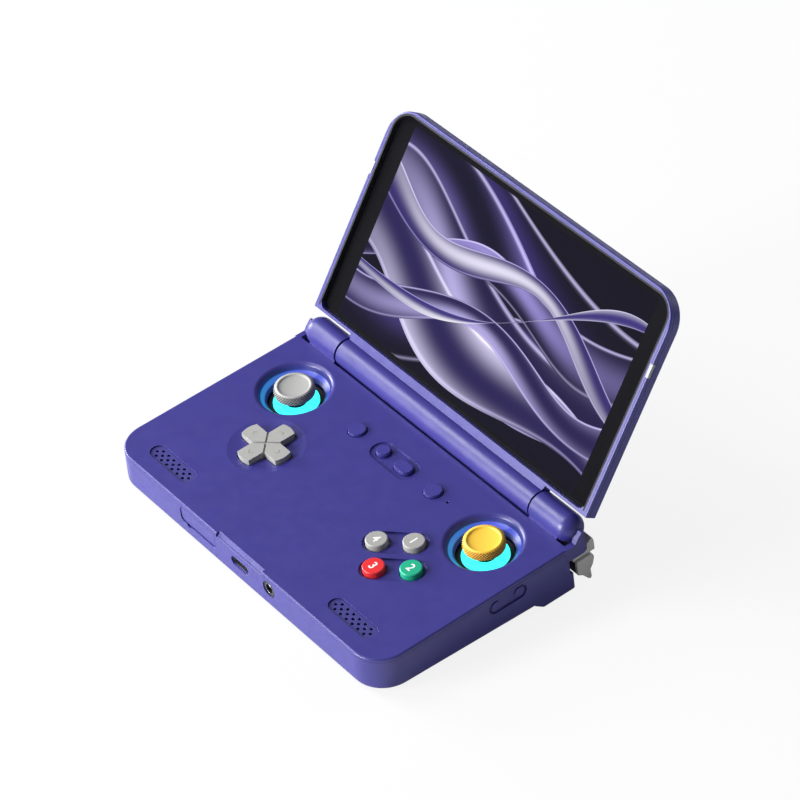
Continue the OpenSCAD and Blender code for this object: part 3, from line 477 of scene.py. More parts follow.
@dataclass(frozen=True)
class PrintedGlass(Finish):
    """Polished cover glass, printed black behind and coated against glare: deep, with a faint mirror."""

    colour: str
    roughness: float = 0.06
    gleam: float = 0.12
    smear_mm: float = 14.0

    def surface(self, tree: bpy.types.NodeTree, place: Socket) -> Inputs:
        """Wide smears in colour and gloss.

        Args:
            tree: the node tree.
            place: the coordinate socket, in metres.

        Returns:
            Inputs of the surface shader.
        """
        blobs = {"Vector": place, "Scale": 1000.0 / self.smear_mm, "Detail": 5.0}
        smear = add(tree, "ShaderNodeTexNoise", blobs)
        base = linear(self.colour)
        return {
            "Base Color": vary(tree, smear, tone(base, 0.8), base),
            "Roughness": vary(tree, smear, self.roughness - 0.02, self.roughness + 0.03),
            "IOR": 1.52,
            "Specular IOR Level": self.gleam,
        }


@dataclass(frozen=True)
class LitPicture(Finish):
    """Picture of the lit display, laminated to its glass: its own light, under the glass's sheen."""

    strength: float = 0.95

    def surface(self, tree: bpy.types.NodeTree, place: Socket) -> Inputs:
        """Light in the colours that the mesh carries.

        Args:
            tree: the node tree.
            place: the coordinate socket, in metres.

        Returns:
            Inputs of the surface shader.
        """
        tint = add(tree, "ShaderNodeAttribute", attribute_name="tint").outputs["Color"]
        return {
            "Base Color": (0.002, 0.002, 0.003, 1.0),
            "Roughness": 0.08,
            "IOR": 1.52,
            "Specular IOR Level": 0.3,
            "Emission Color": tint,
            "Emission Strength": self.strength,
        }


@dataclass(frozen=True)
class SolderMask(Finish):
    """Green solder mask over etched copper: thin paler tracks under a gloss lacquer."""

    colour: str
    track: str
    block_mm: float = 9.6

    def surface(self, tree: bpy.types.NodeTree, place: Socket) -> Inputs:
        """Blocks of copper with tracks between them.

        Args:
            tree: the node tree.
            place: the coordinate socket, in metres.

        Returns:
            Inputs of the surface shader.
        """
        base = linear(self.colour)
        layout = {
            "Vector": place,
            "Color1": base,
            "Color2": tone(base, 0.85),
            "Mortar": linear(self.track),
            "Scale": 1000.0 / self.block_mm,
            "Mortar Size": 0.03,
        }
        brick = add(tree, "ShaderNodeTexBrick", layout)
        relief = {"Height": brick.outputs["Fac"], "Distance": 0.03 * MM}
        return {
            "Base Color": brick.outputs["Color"],
            "Roughness": 0.3,
            "IOR": 1.55,
            "Normal": add(tree, "ShaderNodeBump", relief).outputs["Normal"],
        }


class Shade(Enum):
    """The finishes of the console, by what each is on."""

    SHELL = MouldedPlastic("indigo_moulded_abs", "363280", roughness=0.36, gleam=0.55)
    KEY = MouldedPlastic("indigo_moulded_keys", "373384", roughness=0.4)
    GRILLE = MouldedPlastic("indigo_grille_abs", "34307a", roughness=0.5)
    GREY = MouldedPlastic("grey_moulded_abs", "a2a29f", roughness=0.42)
    SHOULDER = MouldedPlastic("grey_trigger_abs", "bcbcb8", roughness=0.45)
    # The stick caps' groove colours are painted shade in the knurl's grooves
    STICK_GREY = KnurledPlastic("grey_stick_nylon", "a6a6a4", roughness=0.5, edge_mm=0.05, groove_shade="6a6a68")
    STICK_YELLOW = KnurledPlastic("yellow_stick_nylon", "fccb40", roughness=0.5, edge_mm=0.05, groove_shade="cc8e22")
    RED = MouldedPlastic("red_button_abs", "df2f33", roughness=0.32)
    GREEN = MouldedPlastic("green_button_abs", "1fab84", roughness=0.32)
    INK = MouldedPlastic("white_pad_print", "f4f4f2", roughness=0.5, mottle=0.01)
    ENGRAVED = MouldedPlastic("grey_engraved_filling", "8b8b88", roughness=0.6, mottle=0.02)
    BLACK = MouldedPlastic("black_nylon", "19191c", roughness=0.5)
    CLOTH = MouldedPlastic("black_acoustic_mesh", "0a0a0e", roughness=0.85, grain_mm=0.2, depth_mm=0.03)
    GLOW = LitPlastic("cyan_light_guide", "36f4f8", 1.25)
    STEEL = TurnedMetal("drawn_steel", "b9bbc0")
    SPRING = TurnedMetal("jack_spring_steel", "8c8e94", roughness=0.3)
    FIN = TurnedMetal("extruded_aluminium", "a9abb1", roughness=0.35)
    FOOT = MouldedRubber("black_foot_rubber", "26252c")
    BUFFER = MouldedRubber("grey_buffer_silicone", "9fa29f", roughness=0.6)
    MEMBRANE = MouldedRubber("dark_key_silicone", "3a3a40")
    # Black gasket, which also paints the shadow in the gap between glass and rim
    GASKET = MouldedRubber("black_bezel_gasket_and_gap_shadow", "0c0c14")
    # Painted shadow: a dark strip where the rim's joint lies in shade
    SEAM = MouldedPlastic("indigo_seam_shadow", "1a1750", roughness=0.6)
    GLASS = PrintedGlass("black_printed_glass", "141417")
    PANEL = PrintedGlass("display_panel_film", "14121c", roughness=0.2)
    PICTURE = LitPicture("lit_display_picture")
    BOARD = SolderMask("green_solder_mask", "1f5a3c", "4b8a60")
    CELL = MouldedPlastic("battery_wrap_film", "2b2e33", roughness=0.3, grain_mm=3.0, depth_mm=0.05)


Finishes = dict[Shade, tuple[str, ...]]


@cache
def material_of(shade: Shade) -> bpy.types.Material:
    """Material of a finish, made once."""
    return shade.value.make()


# ---------------------------------------------------------------- meshes


def link_object(name: str, data: bpy.types.ID) -> bpy.types.Object:
    """Put a datablock into the scene as an object at the origin.

    Args:
        name: the object's name.
        data: its mesh, curve, lamp or camera.

    Returns:
        The object.
    """
    made = bpy.data.objects.new(name, data)
    bpy.context.scene.collection.objects.link(made)
    return made


def new_piece(
    name: str,
    mesh: bpy.types.Mesh,
    shade: Shade,
    body: str,
    smooth: bool = True,
) -> bpy.types.Object:
    """Link a mesh as a piece of the console.

    Args:
        name: the piece's name.
        mesh: its mesh, in world coordinates.
        shade: its finish.
        body: the body that it rides on.
        smooth: whether its faces are smooth.

    Returns:
        The piece.
    """
    piece = link_object(name, mesh)
    mesh.materials.clear()
    mesh.materials.append(material_of(shade))
    for face in mesh.polygons:
        face.use_smooth = smooth
    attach(piece, body)
    LOG.info("made %s on %s: %d faces", name, body, len(mesh.polygons))
    return piece


def to_mesh(built: bmesh.types.BMesh, name: str) -> bpy.types.Mesh:
    """Keep a bmesh as a mesh and free it.

    Args:
        built: the bmesh.
        name: the mesh's name.

    Returns:
        The mesh.
    """
    mesh = bpy.data.meshes.new(name)
    built.to_mesh(mesh)
    built.free()
    return mesh


def finish_mesh(built: bmesh.types.BMesh, name: str) -> bpy.types.Mesh:
    """Turn a closed bmesh's faces outwards and keep it as a mesh."""
    bmesh.ops.recalc_face_normals(built, faces=built.faces)
    return to_mesh(built, name)


def lathe(
    profile: Sequence[Spot],
    steps: int,
    warp: Callable[[float, float, float], float] | None = None,
) -> bpy.types.Mesh:
    """Turn a profile round Z into a closed mesh.

    Args:
        profile: (radius, height) points in millimetres, from axis to axis or back to the first.
        steps: faces round the axis.
        warp: extra radius in millimetres for (angle, radius, height).

    Returns:
        The mesh, in metres.
    """
    built = bmesh.new()
    rings: list[list[bmesh.types.BMVert]] = []
    for radius, height in profile:
        if radius < 1e-6:
            rings.append([built.verts.new((0.0, 0.0, height * MM))])
            continue
        ring = []
        for step in range(steps):
            angle = 2.0 * math.pi * step / steps
            reach = radius + (warp(angle, radius, height) if warp else 0.0)
            spot = (reach * math.cos(angle) * MM, reach * math.sin(angle) * MM, height * MM)
            ring.append(built.verts.new(spot))
        rings.append(ring)
    for low, high in zip(rings, rings[1:]):
        for step in range(steps):
            pair = (step, (step + 1) % steps)
            corners = [low[at % len(low)] for at in pair] + [high[at % len(high)] for at in reversed(pair)]
            unique = list(dict.fromkeys(corners))
            if len(unique) > 2:
                built.faces.new(unique)
    return finish_mesh(built, "lathe")


def prism(outline: Sequence[Spot], low: float, high: float, built: bmesh.types.BMesh) -> None:
    """Add an upright prism to a mesh.

    Args:
        outline: corner points in millimetres, anticlockwise.
        low: height of its bottom in millimetres.
        high: height of its top in millimetres.
        built: the mesh that it is added to.
    """
    bottom = [built.verts.new((x * MM, y * MM, low * MM)) for x, y in outline]
    top = [built.verts.new((x * MM, y * MM, high * MM)) for x, y in outline]
    built.faces.new(top)
    built.faces.new(list(reversed(bottom)))
    for index in range(len(outline)):
        after = (index + 1) % len(outline)
        built.faces.new([bottom[index], bottom[after], top[after], top[index]])


def arch(half: float, near_y: float, far_y: float, far_r: float, steps: int = 12) -> list[Spot]:
    """Open outline up one side, across the far edge and down the other.

    Args:
        half: half of its size in X, in millimetres.
        near_y: where both sides start.
        far_y: its far edge.
        far_r: radius of the far corners.
        steps: straight pieces round each corner.

    Returns:
        Points, from the right side to the left one.
    """
    points = [(half, near_y)]
    for x, start in ((half - far_r, 0.0), (far_r - half, 90.0)):
        for step in range(steps + 1):
            angle = math.radians(start + 90.0 * step / steps)
            points.append((x + far_r * math.cos(angle), far_y - far_r + far_r * math.sin(angle)))
    return [*points, (-half, near_y)]


def strip(outer: Sequence[Spot], inner: Sequence[Spot], low: float, high: float) -> bpy.types.Mesh:
    """Flat strip between two open outlines with the same number of points.

    Args:
        outer: its outer edge, in millimetres.
        inner: its inner edge, in millimetres.
        low: height of its bottom.
        high: height of its top.

    Returns:
        The mesh, in metres.
    """
    built = bmesh.new()
    loops = [
        [built.verts.new((x * MM, y * MM, height * MM)) for x, y in outline]
        for outline, height in ((outer, low), (outer, high), (inner, high), (inner, low))
    ]
    for first, second in zip(loops, loops[1:] + loops[:1]):
        for index in range(len(first) - 1):
            built.faces.new([first[index], first[index + 1], second[index + 1], second[index]])
    built.faces.new([loop[0] for loop in loops])
    built.faces.new([loop[-1] for loop in reversed(loops)])
    return finish_mesh(built, "strip")


def dress(node: bpy.types.Object, shade: Shade, material: bpy.types.Material | None = None) -> None:
    """Give a CAD node its finish; its own normals already keep creases sharp.

    Args:
        node: the CAD node's object.
        shade: its finish.
        material: a material of its own in place of the finish's.
    """
    node.data.materials.clear()
    node.data.materials.append(material or material_of(shade))


def dress_all(nodes: Nodes, finishes: Finishes) -> None:
    """Give CAD nodes their finishes.

    Args:
        nodes: the CAD nodes by name.
        finishes: the names of the nodes that have each finish.
    """
    for shade, names in finishes.items():
        for name in names:
            dress(nodes[name], shade)


def run_nodes(name: str, tree: bpy.types.NodeTree, values: dict[str, Any]) -> bpy.types.Mesh:
    """Run a Geometry Nodes tree once and keep its result as a plain mesh.

    Args:
        name: name of the mesh.
        tree: the node tree.
        values: named input to value.

    Returns:
        The mesh.
    """
    holder = link_object(name + "_holder", bpy.data.meshes.new(name + "_seed"))
    modifier = holder.modifiers.new("pattern", "NODES")
    modifier.node_group = tree
    for item in tree.interface.items_tree:
        if item.item_type == "SOCKET" and item.in_out == "INPUT" and item.name in values:
            modifier[item.identifier] = values[item.name]
    graph = bpy.context.evaluated_depsgraph_get()
    mesh = bpy.data.meshes.new_from_object(holder.evaluated_get(graph))
    mesh.name = name
    holder.modifiers.remove(modifier)
    bpy.data.objects.remove(holder)
    return mesh


# ---------------------------------------------------------------- sub-assemblies


@dataclass
class Casing:
    """The two shells, their feet, screws, ports and everything sealed inside."""

    stance: Stance
    grille_x: float = 48.3
    grille_y: float = 8.9
    cloth_l: float = 19.6
    cloth_w: float = 3.6
    cloth_z: float = -1.4
    wire_pitch: float = 0.5
    wire: float = 0.16
    jack: Point = (15.6, 0.95, -4.9)
    ring_in: float = 1.76
    ring_out: float = 2.05
    ring_l: float = 0.9

    FINISHES: ClassVar[Finishes] = {
        Shade.SHELL: ("bottom_shell", "card_flap"),
        Shade.KEY: ("left_key", "small_key", "oval_key", "right_key", "volume_rocker"),
        Shade.GRILLE: ("left_speaker_grille", "right_speaker_grille"),
        Shade.BLACK: ("left_speaker", "right_speaker", "fan_housing", "fan_rotor", "audio_jack"),
        Shade.FOOT: ("rubber_feet",),
        Shade.STEEL: ("case_screws", "usb_c_socket", "card_socket", "shoulder_pins", "trigger_pins"),
        Shade.FIN: ("heat_sink",),
        Shade.BOARD: ("main_board",),
        Shade.CELL: ("battery",),
        Shade.MEMBRANE: ("pad_membrane", "face_membrane", "key_membrane"),
    }

    def build(self, nodes: Nodes) -> None:
        """Dress the casing's nodes and add its fine pieces.

        Args:
            nodes: the CAD nodes by name.
        """
        dress_all(nodes, self.FINISHES)
        # The deck shell carries a painted glow round its stick wells
        dress(nodes["deck_shell"], Shade.SHELL, self.deck_material_with_painted_glow())
        weave = self.mesh_tree()
        for side, sign in (("left", -1.0), ("right", 1.0)):
            self.acoustic_mesh(weave, side, sign)
        self.jack_contact()

    def deck_material_with_painted_glow(self) -> bpy.types.Material:
        """The shell's finish with the painted glow of the stick wells, set in the deck's own frame.

        Returns:
            The material.
        """
        plain: MouldedPlastic = Shade.SHELL.value
        back = self.stance.deck().inverted()
        finish = PaintedWellGlowPlastic(
            "indigo_abs_painted_well_glow",
            plain.colour,
            roughness=plain.roughness,
            gleam=plain.gleam,
            turn=-self.stance.pitch,
            shift=tuple(back.translation),
        )
        return finish.make()

    def mesh_tree(self) -> bpy.types.NodeTree:
        """Node tree of a woven acoustic mesh: rows of crossing wires, cut by a plate's size.

        Returns:
            The tree, whose sizes are inputs in metres.
        """
        tree = bpy.data.node_groups.new("acoustic_weave", "GeometryNodeTree")
        for name in ("Length", "Width", "Pitch", "Wire"):
            tree.interface.new_socket(name, in_out="INPUT", socket_type="NodeSocketFloat")
        tree.interface.new_socket("Finish", in_out="INPUT", socket_type="NodeSocketMaterial")
        tree.interface.new_socket("Geometry", in_out="OUTPUT", socket_type="NodeSocketGeometry")
        source = add(tree, "NodeGroupInput").outputs
        join = add(tree, "GeometryNodeJoinGeometry")
        for axis, (along, across) in enumerate((("Length", "Width"), ("Width", "Length"))):
            other = 1 - axis
            ratio = {0: source[across], 1: source["Pitch"]}
            count = add(tree, "ShaderNodeMath", ratio, operation="DIVIDE")
            half = add(tree, "ShaderNodeMath", {0: source[across], 1: -0.5}, operation="MULTIPLY")
            start = add(tree, "ShaderNodeCombineXYZ", {other: half.outputs[0]})
            step = add(tree, "ShaderNodeCombineXYZ", {other: source["Pitch"]})
            sides = {axis: source[along], other: source["Wire"], 2: source["Wire"]}
            size = add(tree, "ShaderNodeCombineXYZ", sides)
            wire = add(tree, "GeometryNodeMeshCube", {"Size": size.outputs[0]})
            line = add(
                tree,
                "GeometryNodeMeshLine",
                {"Count": count.outputs[0], "Start Location": start.outputs[0], "Offset": step.outputs[0]},
            )
            points = {"Points": line.outputs[0], "Instance": wire.outputs[0]}
            put = add(tree, "GeometryNodeInstanceOnPoints", points)
            tree.links.new(put.outputs[0], join.inputs[0])
        real = add(tree, "GeometryNodeRealizeInstances", {0: join.outputs[0]})
        dressed = {"Geometry": real.outputs[0], "Material": source["Finish"]}
        finish = add(tree, "GeometryNodeSetMaterial", dressed)
        add(tree, "NodeGroupOutput", {0: finish.outputs[0]})
        return tree

    def acoustic_mesh(self, weave: bpy.types.NodeTree, side: str, sign: float) -> None:
        """Woven mesh behind one grille.

        Args:
            weave: the node tree of the mesh.
            side: left or right.
            sign: -1 for the left grille, 1 for the right one.
        """
        sizes = {
            "Length": self.cloth_l * MM,
            "Width": self.cloth_w * MM,
            "Pitch": self.wire_pitch * MM,
            "Wire": self.wire * MM,
            "Finish": material_of(Shade.CLOTH),
        }
        mesh = run_nodes(side + "_mesh", weave, sizes)
        spot = Vector((sign * self.grille_x, self.grille_y, self.cloth_z)) * MM
        mesh.transform(self.stance.deck() @ Matrix.Translation(spot))
        new_piece(side + "_acoustic_mesh", mesh, Shade.CLOTH, "base", smooth=False)

    def jack_contact(self) -> None:
        """Spring-steel ring just inside the mouth of the headphone jack."""
        inner, outer, length = self.ring_in, self.ring_out, self.ring_l
        profile = [(inner, 0.0), (outer, 0.0), (outer, length), (inner, length), (inner, 0.0)]
        mesh = lathe(profile, 48)
        place = Matrix.Translation(Vector(self.jack) * MM) @ Matrix.Rotation(math.pi / 2, 4, "X")
        mesh.transform(self.stance.deck() @ place)
        new_piece("jack_contact_ring", mesh, Shade.SPRING, "base")


@dataclass
class ThumbStick:
    """One thumb stick: light guide, gimbal and knurled cap."""

    stance: Stance
    side: str
    x: float
    y: float = 59.0
    pivot: float = 9.0
    cap_r: float = 7.0
    cap_top: float = 1.35
    knurls: int = 44
    # Depths below the cap's top where the knurl starts and ends, and how far it fades in
    knurl_high: float = 0.15
    knurl_low: float = 3.2
    fade_high: float = 0.2
    fade_low: float = 0.3
    # Height of one diamond, its relief, and the share of a diamond where the cap's own radius lies
    diamond: float = 1.0
    relief: float = 0.5
    level: float = 0.6
    # Relief where the painted groove shade starts, and how much deeper it is full
    groove_shade_start: float = 0.1
    groove_shade_depth: float = 0.26
    # The bulged flank: how far in it starts, how far it bulges, its foot below the top, its height
    flank_in: float = 0.86
    bulge: float = 0.75
    flank_low: float = 3.1
    flank_h: float = 2.95
    flank_rows: int = 30

    def cap_shade(self) -> Shade:
        """Finish of the cap: grey at the left, yellow at the right."""
        return Shade.STICK_GREY if self.side == "left" else Shade.STICK_YELLOW

    def knurl(self, angle: float, radius: float, height: float) -> float:
        """Diamond knurl on the flank, as coarse as it needs to be to show.

        Args:
            angle: place round the cap, in radians.
            radius: place on the profile, in millimetres.
            height: place on the profile, in millimetres.

        Returns:
            Extra radius in millimetres.
        """
        top = self.pivot + self.cap_top
        if radius < self.cap_r - 1.0 or height < top - self.knurl_low or height > top - self.knurl_high:
            return 0.0
        fade_out = (top - self.knurl_high - height) / self.fade_high
        fade_in = (height - top + self.knurl_low) / self.fade_low
        turn = angle * self.knurls / (2.0 * math.pi)
        slope = height / self.diamond
        first = abs(((turn + slope) % 1.0) * 2.0 - 1.0)
        second = abs(((turn - slope) % 1.0) * 2.0 - 1.0)
        return self.relief * (min(first, second) - self.level) * min(1.0, fade_out, fade_in)

    def cap_profile(self) -> list[Spot]:
        """Profile of the cap from its socket, round its flank and rim, to the middle of its dish.

        Returns:
            (radius, height) points in millimetres.
        """
        top = self.pivot + self.cap_top
        points = [(0.0, 8.1), (1.66, 8.1), (1.66, 5.42), (2.55, 5.42)]
        points += [(2.6, 6.1), (3.4, 6.5), (5.6, 6.9), (6.2, 7.1)]
        for row in range(self.flank_rows + 1):
            share = row / self.flank_rows
            height = top - self.flank_low + share * self.flank_h
            bulge = math.sin(math.pi * min(1.0, share * 0.72 + 0.22)) ** 0.5
            points.append((self.cap_r - self.flank_in + self.bulge * bulge, height))
        rim = [(5.92, 0.12), (5.86, 0.02), (5.78, 0.0), (5.5, 0.0), (5.42, 0.03), (5.34, 0.12), (5.26, 0.36)]
        points += [(radius, top - depth) for radius, depth in rim]
        dish_r, edge, deep = 5.18, 0.42, 0.3
        for share in (1.0, 0.92, 0.85, 0.7, 0.5, 0.3, 0.12, 0.0):
            points.append((dish_r * share, top - edge - deep * (1.0 - share * share)))
        return points

    def build(self, nodes: Nodes) -> None:
        """Dress the stick's nodes and replace its cap by a knurled one.

        Args:
            nodes: the CAD nodes by name.
        """
        side = self.side
        finishes = {
            Shade.GLOW: (side + "_glow_ring",),
            Shade.BLACK: (side + "_stick_base", side + "_stick_yoke"),
            Shade.STEEL: (side + "_stick_stem",),
            self.cap_shade(): (side + "_stick_cap",),
        }
        dress_all(nodes, finishes)
        mesh = lathe(self.cap_profile(), self.knurls * 6, self.knurl)
        # Painted shade: each vertex carries how dark its knurl groove is painted
        groove_shading = mesh.attributes.new("groove_shade", "FLOAT", "POINT").data
        for vertex, depth in zip(mesh.vertices, groove_shading):
            x, y, z = vertex.co / MM
            relief = self.knurl(math.atan2(y, x), math.hypot(x, y), z)
            share = (self.groove_shade_start - relief) / self.groove_shade_depth
            depth.value = min(1.0, max(0.0, share)) if relief else 0.0
        spot = (self.x * MM, self.y * MM, -self.pivot * MM)
        mesh.transform(self.stance.deck() @ Matrix.Translation(spot))
        cap = new_piece(side + "_knurled_cap", mesh, self.cap_shade(), side + "_cap")
        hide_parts(side + "_stick_cap")


@dataclass
class DirectionPad:
    """The cross, its ball and the arrows on its arms."""

    stance: Stance
    x: float = -33.9
    y: float = 35.9
    top: float = 1.45
    arrow_at: float = 6.6
    arrow_w: float = 2.0
    tip: float = 0.55
    wing: float = 0.45
    line: float = 0.34
    # The arrow's line is this much longer at its tip, where its two barbs meet
    mitre: float = 1.35
    sunk: float = 0.05
    proud: float = 0.02

    FINISHES: ClassVar[Finishes] = {Shade.GREY: ("direction_pad",), Shade.STEEL: ("pad_pivot",)}

    def build(self, nodes: Nodes) -> None:
        """Dress the cross and add the filled arrows on its arms.

        Args:
            nodes: the CAD nodes by name.
        """
        dress_all(nodes, self.FINISHES)
        built = bmesh.new()
        half = self.arrow_w / 2.0
        for quarter in range(4):
            turn = Matrix.Rotation(quarter * math.pi / 2.0, 2)
            for sign in (-1.0, 1.0):
                tip = (self.arrow_at + self.tip, 0.0)
                wing = (self.arrow_at - self.wing, sign * half)
                barb = [tip, wing, (wing[0] - self.line, wing[1]), (tip[0] - self.line * self.mitre, 0.0)]
                if sign < 0:
                    barb.reverse()
                outline = [tuple(turn @ Vector(point)) for point in barb]
                prism(outline, self.top - self.sunk, self.top + self.proud, built)
        mesh = finish_mesh(built, "arrows")
        mesh.transform(self.stance.deck() @ Matrix.Translation((self.x * MM, self.y * MM, 0.0)))
        new_piece("pad_arrows", mesh, Shade.ENGRAVED, "pad", smooth=False)


class Place(Enum):
    """The four face buttons: place relative to the cluster, numeral and finish."""

    NORTH = ("north", 0.0, 8.0, "1", Shade.GREY)
    EAST = ("east", 8.9, 0.0, "2", Shade.GREEN)
    SOUTH = ("south", 0.0, -8.0, "3", Shade.RED)
    WEST = ("west", -8.9, 0.0, "4", Shade.GREY)


@dataclass
class FaceButtons:
    """Four domed buttons with printed numerals; slots are the CAD nodes' material slots."""

    stance: Stance
    slots: dict[str, str]
    x: float = 35.5
    y: float = 34.7
    top: float = 1.47
    numeral_mm: float = 4.3
    bolder: float = 0.07
    ink: float = 0.012

    def numeral(self, text: str) -> bpy.types.Mesh:
        """Mesh of one numeral, centred.

        Args:
            text: the numeral.

        Returns:
            The mesh, in metres.
        """
        curve = bpy.data.curves.new("numeral_" + text, "FONT")
        curve.body = text
        curve.size = self.numeral_mm * MM
        curve.align_x = "CENTER"
        curve.align_y = "CENTER"
        curve.offset = self.bolder * MM
        curve.extrude = self.ink * MM
        curve.resolution_u = 6
        holder = link_object("numeral_holder", curve)
        graph = bpy.context.evaluated_depsgraph_get()
        mesh = bpy.data.meshes.new_from_object(holder.evaluated_get(graph))
        bpy.data.objects.remove(holder)
        built = bmesh.new()
        built.from_mesh(mesh)
        bmesh.ops.remove_doubles(built, verts=built.verts, dist=1e-7)
        bmesh.ops.recalc_face_normals(built, faces=built.faces)
        low = [min(v.co[axis] for v in built.verts) for axis in (0, 1)]
        high = [max(v.co[axis] for v in built.verts) for axis in (0, 1)]
        shift = Vector((-(low[0] + high[0]) / 2.0, -(low[1] + high[1]) / 2.0, 0.0))
        bmesh.ops.translate(built, verts=built.verts, vec=shift)
        built.to_mesh(mesh)
        built.free()
        return mesh

    def build(self, nodes: Nodes) -> None:
        """Dress the buttons and print their numerals.

        Args:
            nodes: the CAD nodes by name.
        """
        for place in Place:
            name, dx, dy, text, shade = place.value
            dress(nodes[name + "_button"], shade)
            mesh = self.numeral(text)
            spot = Vector((self.x + dx, self.y + dy, self.top + self.ink)) * MM
            mesh.transform(self.stance.deck() @ Matrix.Translation(spot))
            new_piece(name + "_numeral", mesh, Shade.INK, name, smooth=False)


@dataclass
class ShoulderKeys:
    """Shoulder buttons and triggers."""

    FINISHES: ClassVar[Finishes] = {
        Shade.SHOULDER: ("left_trigger", "right_trigger", "left_shoulder_button", "right_shoulder_button"),
    }

    def build(self, nodes: Nodes) -> None:
        """Dress the keys."""
        dress_all(nodes, self.FINISHES)


@dataclass(frozen=True)
class Ribbon:
    """One band of the display's picture, in shares of its size, with its dark and light colours."""

    start: float
    end: float
    swing: float
    waves: float
    phase: float
    width: float
    twist: float
    dark: str
    light: str


@dataclass
class Lid:
    """The lid: frame, cover, hinge, buffers, glass and the lit picture."""

    stance: Stance
    picture_w: float = 121.76
    picture_h: float = 68.49
    picture_y: float = 9.31
    # The picture's height over the glass, and each band's over the one before
    lift: float = 0.012
    layer: float = 0.004
    columns: int = 24
    rows: int = 14
    steps: int = 150
    lanes: int = 14
    ground: str = "120e24"
    shine: str = "d8d0ff"
    width: float = 141.6
    reach: float = 82.0
    corner_r: float = 11.0
    rim_top: float = 1.55
    glass_w: float = 137.0
    glass_in: float = 7.7
    glass_out: float = 80.3
    glass_r: float = 7.0
    # The gasket and the painted seam shadow start this far past the glass's inner edge
    start: float = 0.3
    gasket_grow: tuple[float, float] = (0.5, -0.15)
    gasket_proud: float = 0.012
    seam_shadow_inset: tuple[float, float] = (0.72, 0.9)
    seam_shadow_proud: float = 0.008

    FINISHES: ClassVar[Finishes] = {
        Shade.SHELL: ("lid_frame", "lid_cover"),
        Shade.STEEL: ("left_hinge_pin", "right_hinge_pin", "left_hinge_cartridge", "right_hinge_cartridge"),
        Shade.BUFFER: ("lid_buffers",),
        Shade.GLASS: ("cover_glass",),
        Shade.PANEL: ("display_panel",),
    }

    def ribbons(self) -> list[Ribbon]:
        """The bands of the picture.

        Returns:
            The bands, from the lowest layer to the highest.
        """
        return [
            Ribbon(0.98, 0.62, 0.05, 0.8, 0.10, 0.40, 0.30, "110d20", "3c3172"),
            Ribbon(0.86, 0.40, 0.07, 0.8, 0.18, 0.44, 0.78, "15102a", "8577cc"),
            Ribbon(0.16, 0.44, 0.09, 0.9, 0.62, 0.40, 0.25, "130f24", "54468f"),
            Ribbon(0.66, 0.24, 0.10, 0.9, 0.26, 0.42, 0.52, "241c48", "c1b7ee"),
            Ribbon(0.46, 0.66, 0.12, 1.0, 0.88, 0.30, 0.12, "1c1638", "a093dc"),
            Ribbon(0.44, 0.10, 0.11, 1.0, 0.36, 0.34, 0.88, "2c2358", "ddd6f8"),
            Ribbon(0.26, 0.34, 0.10, 1.1, 0.74, 0.22, 0.58, "2a2154", "b7aee6"),
            Ribbon(0.74, 0.50, 0.13, 1.1, 0.52, 0.13, 0.35, "3a2f70", "eae5fb"),
            Ribbon(0.20, 0.78, 0.08, 0.9, 0.30, 0.06, 0.70, "403680", "f0edfc"),
        ]

    def band_point(self, band: Ribbon, along: float, across: float) -> Spot:
        """Place on a band, in shares of the picture.

        Args:
            band: the band.
            along: 0 at its left end, 1 at its right end.
            across: 0 at its lower edge, 1 at its upper edge.

        Returns:
            Share of the width and of the height.
        """
        ease = along * along * (3.0 - 2.0 * along)
        middle = band.start + (band.end - band.start) * ease
        middle += band.swing * math.sin(2.0 * math.pi * (band.waves * along + band.phase))
        pinch = 0.45 + 0.55 * math.sin(math.pi * (0.5 * along + band.phase)) ** 2
        lean = 0.06 * math.sin(2.0 * math.pi * (along + band.twist))
        return along + lean * (across - 0.5), middle + band.width * pinch * (across - 0.5)

    def band_tint(self, band: Ribbon, along: float, across: float) -> Colour:
        """Colour on a band: a soft roll of light with a bright and a thin second edge.

        Args:
            band: the band.
            along: 0 at its left end, 1 at its right end.
            across: 0 at its lower edge, 1 at its upper edge.

        Returns:
            The linear colour.
        """
        dark, light, shine = linear(band.dark), linear(band.light), linear(self.shine)
        roll = 0.5 + 0.5 * math.cos(2.0 * math.pi * (0.8 * across + band.twist + 0.55 * along))
        glow = roll**1.6 * (0.35 + 0.65 * math.sin(math.pi * min(1.0, along * 0.9 + 0.08)) ** 2)
        edge = math.exp(-(((across - 0.965) / 0.022) ** 2)) + 0.55 * math.exp(-(((across - 0.05) / 0.02) ** 2))
        return tone(tuple(dark[i] + (light[i] - dark[i]) * glow + shine[i] * 0.75 * edge for i in range(3)), 1.0)

    def plate(self, built: bmesh.types.BMesh, tint: Any, base: float) -> None:
        """Add the dark ground of the picture, a little paler in its middle.

        Args:
            built: the mesh that it is added to.
            tint: the mesh's colour layer.
            base: its height in metres.
        """
        grid = []
        for row in range(self.rows + 1):
            line = []
            for column in range(self.columns + 1):
                u, v = column / self.columns, row / self.rows
                x = (u - 0.5) * self.picture_w
                y = self.picture_y + v * self.picture_h
                vert = built.verts.new((x * MM, y * MM, base))
                shade = 0.55 + 0.45 * math.exp(-((u - 0.55) ** 2 + (v - 0.45) ** 2) / 0.18)
                vert[tint] = tone(linear(self.ground), shade)
                line.append(vert)
            grid.append(line)
        for low, high in zip(grid, grid[1:]):
            for column in range(self.columns):
                built.faces.new([low[column], low[column + 1], high[column + 1], high[column]])

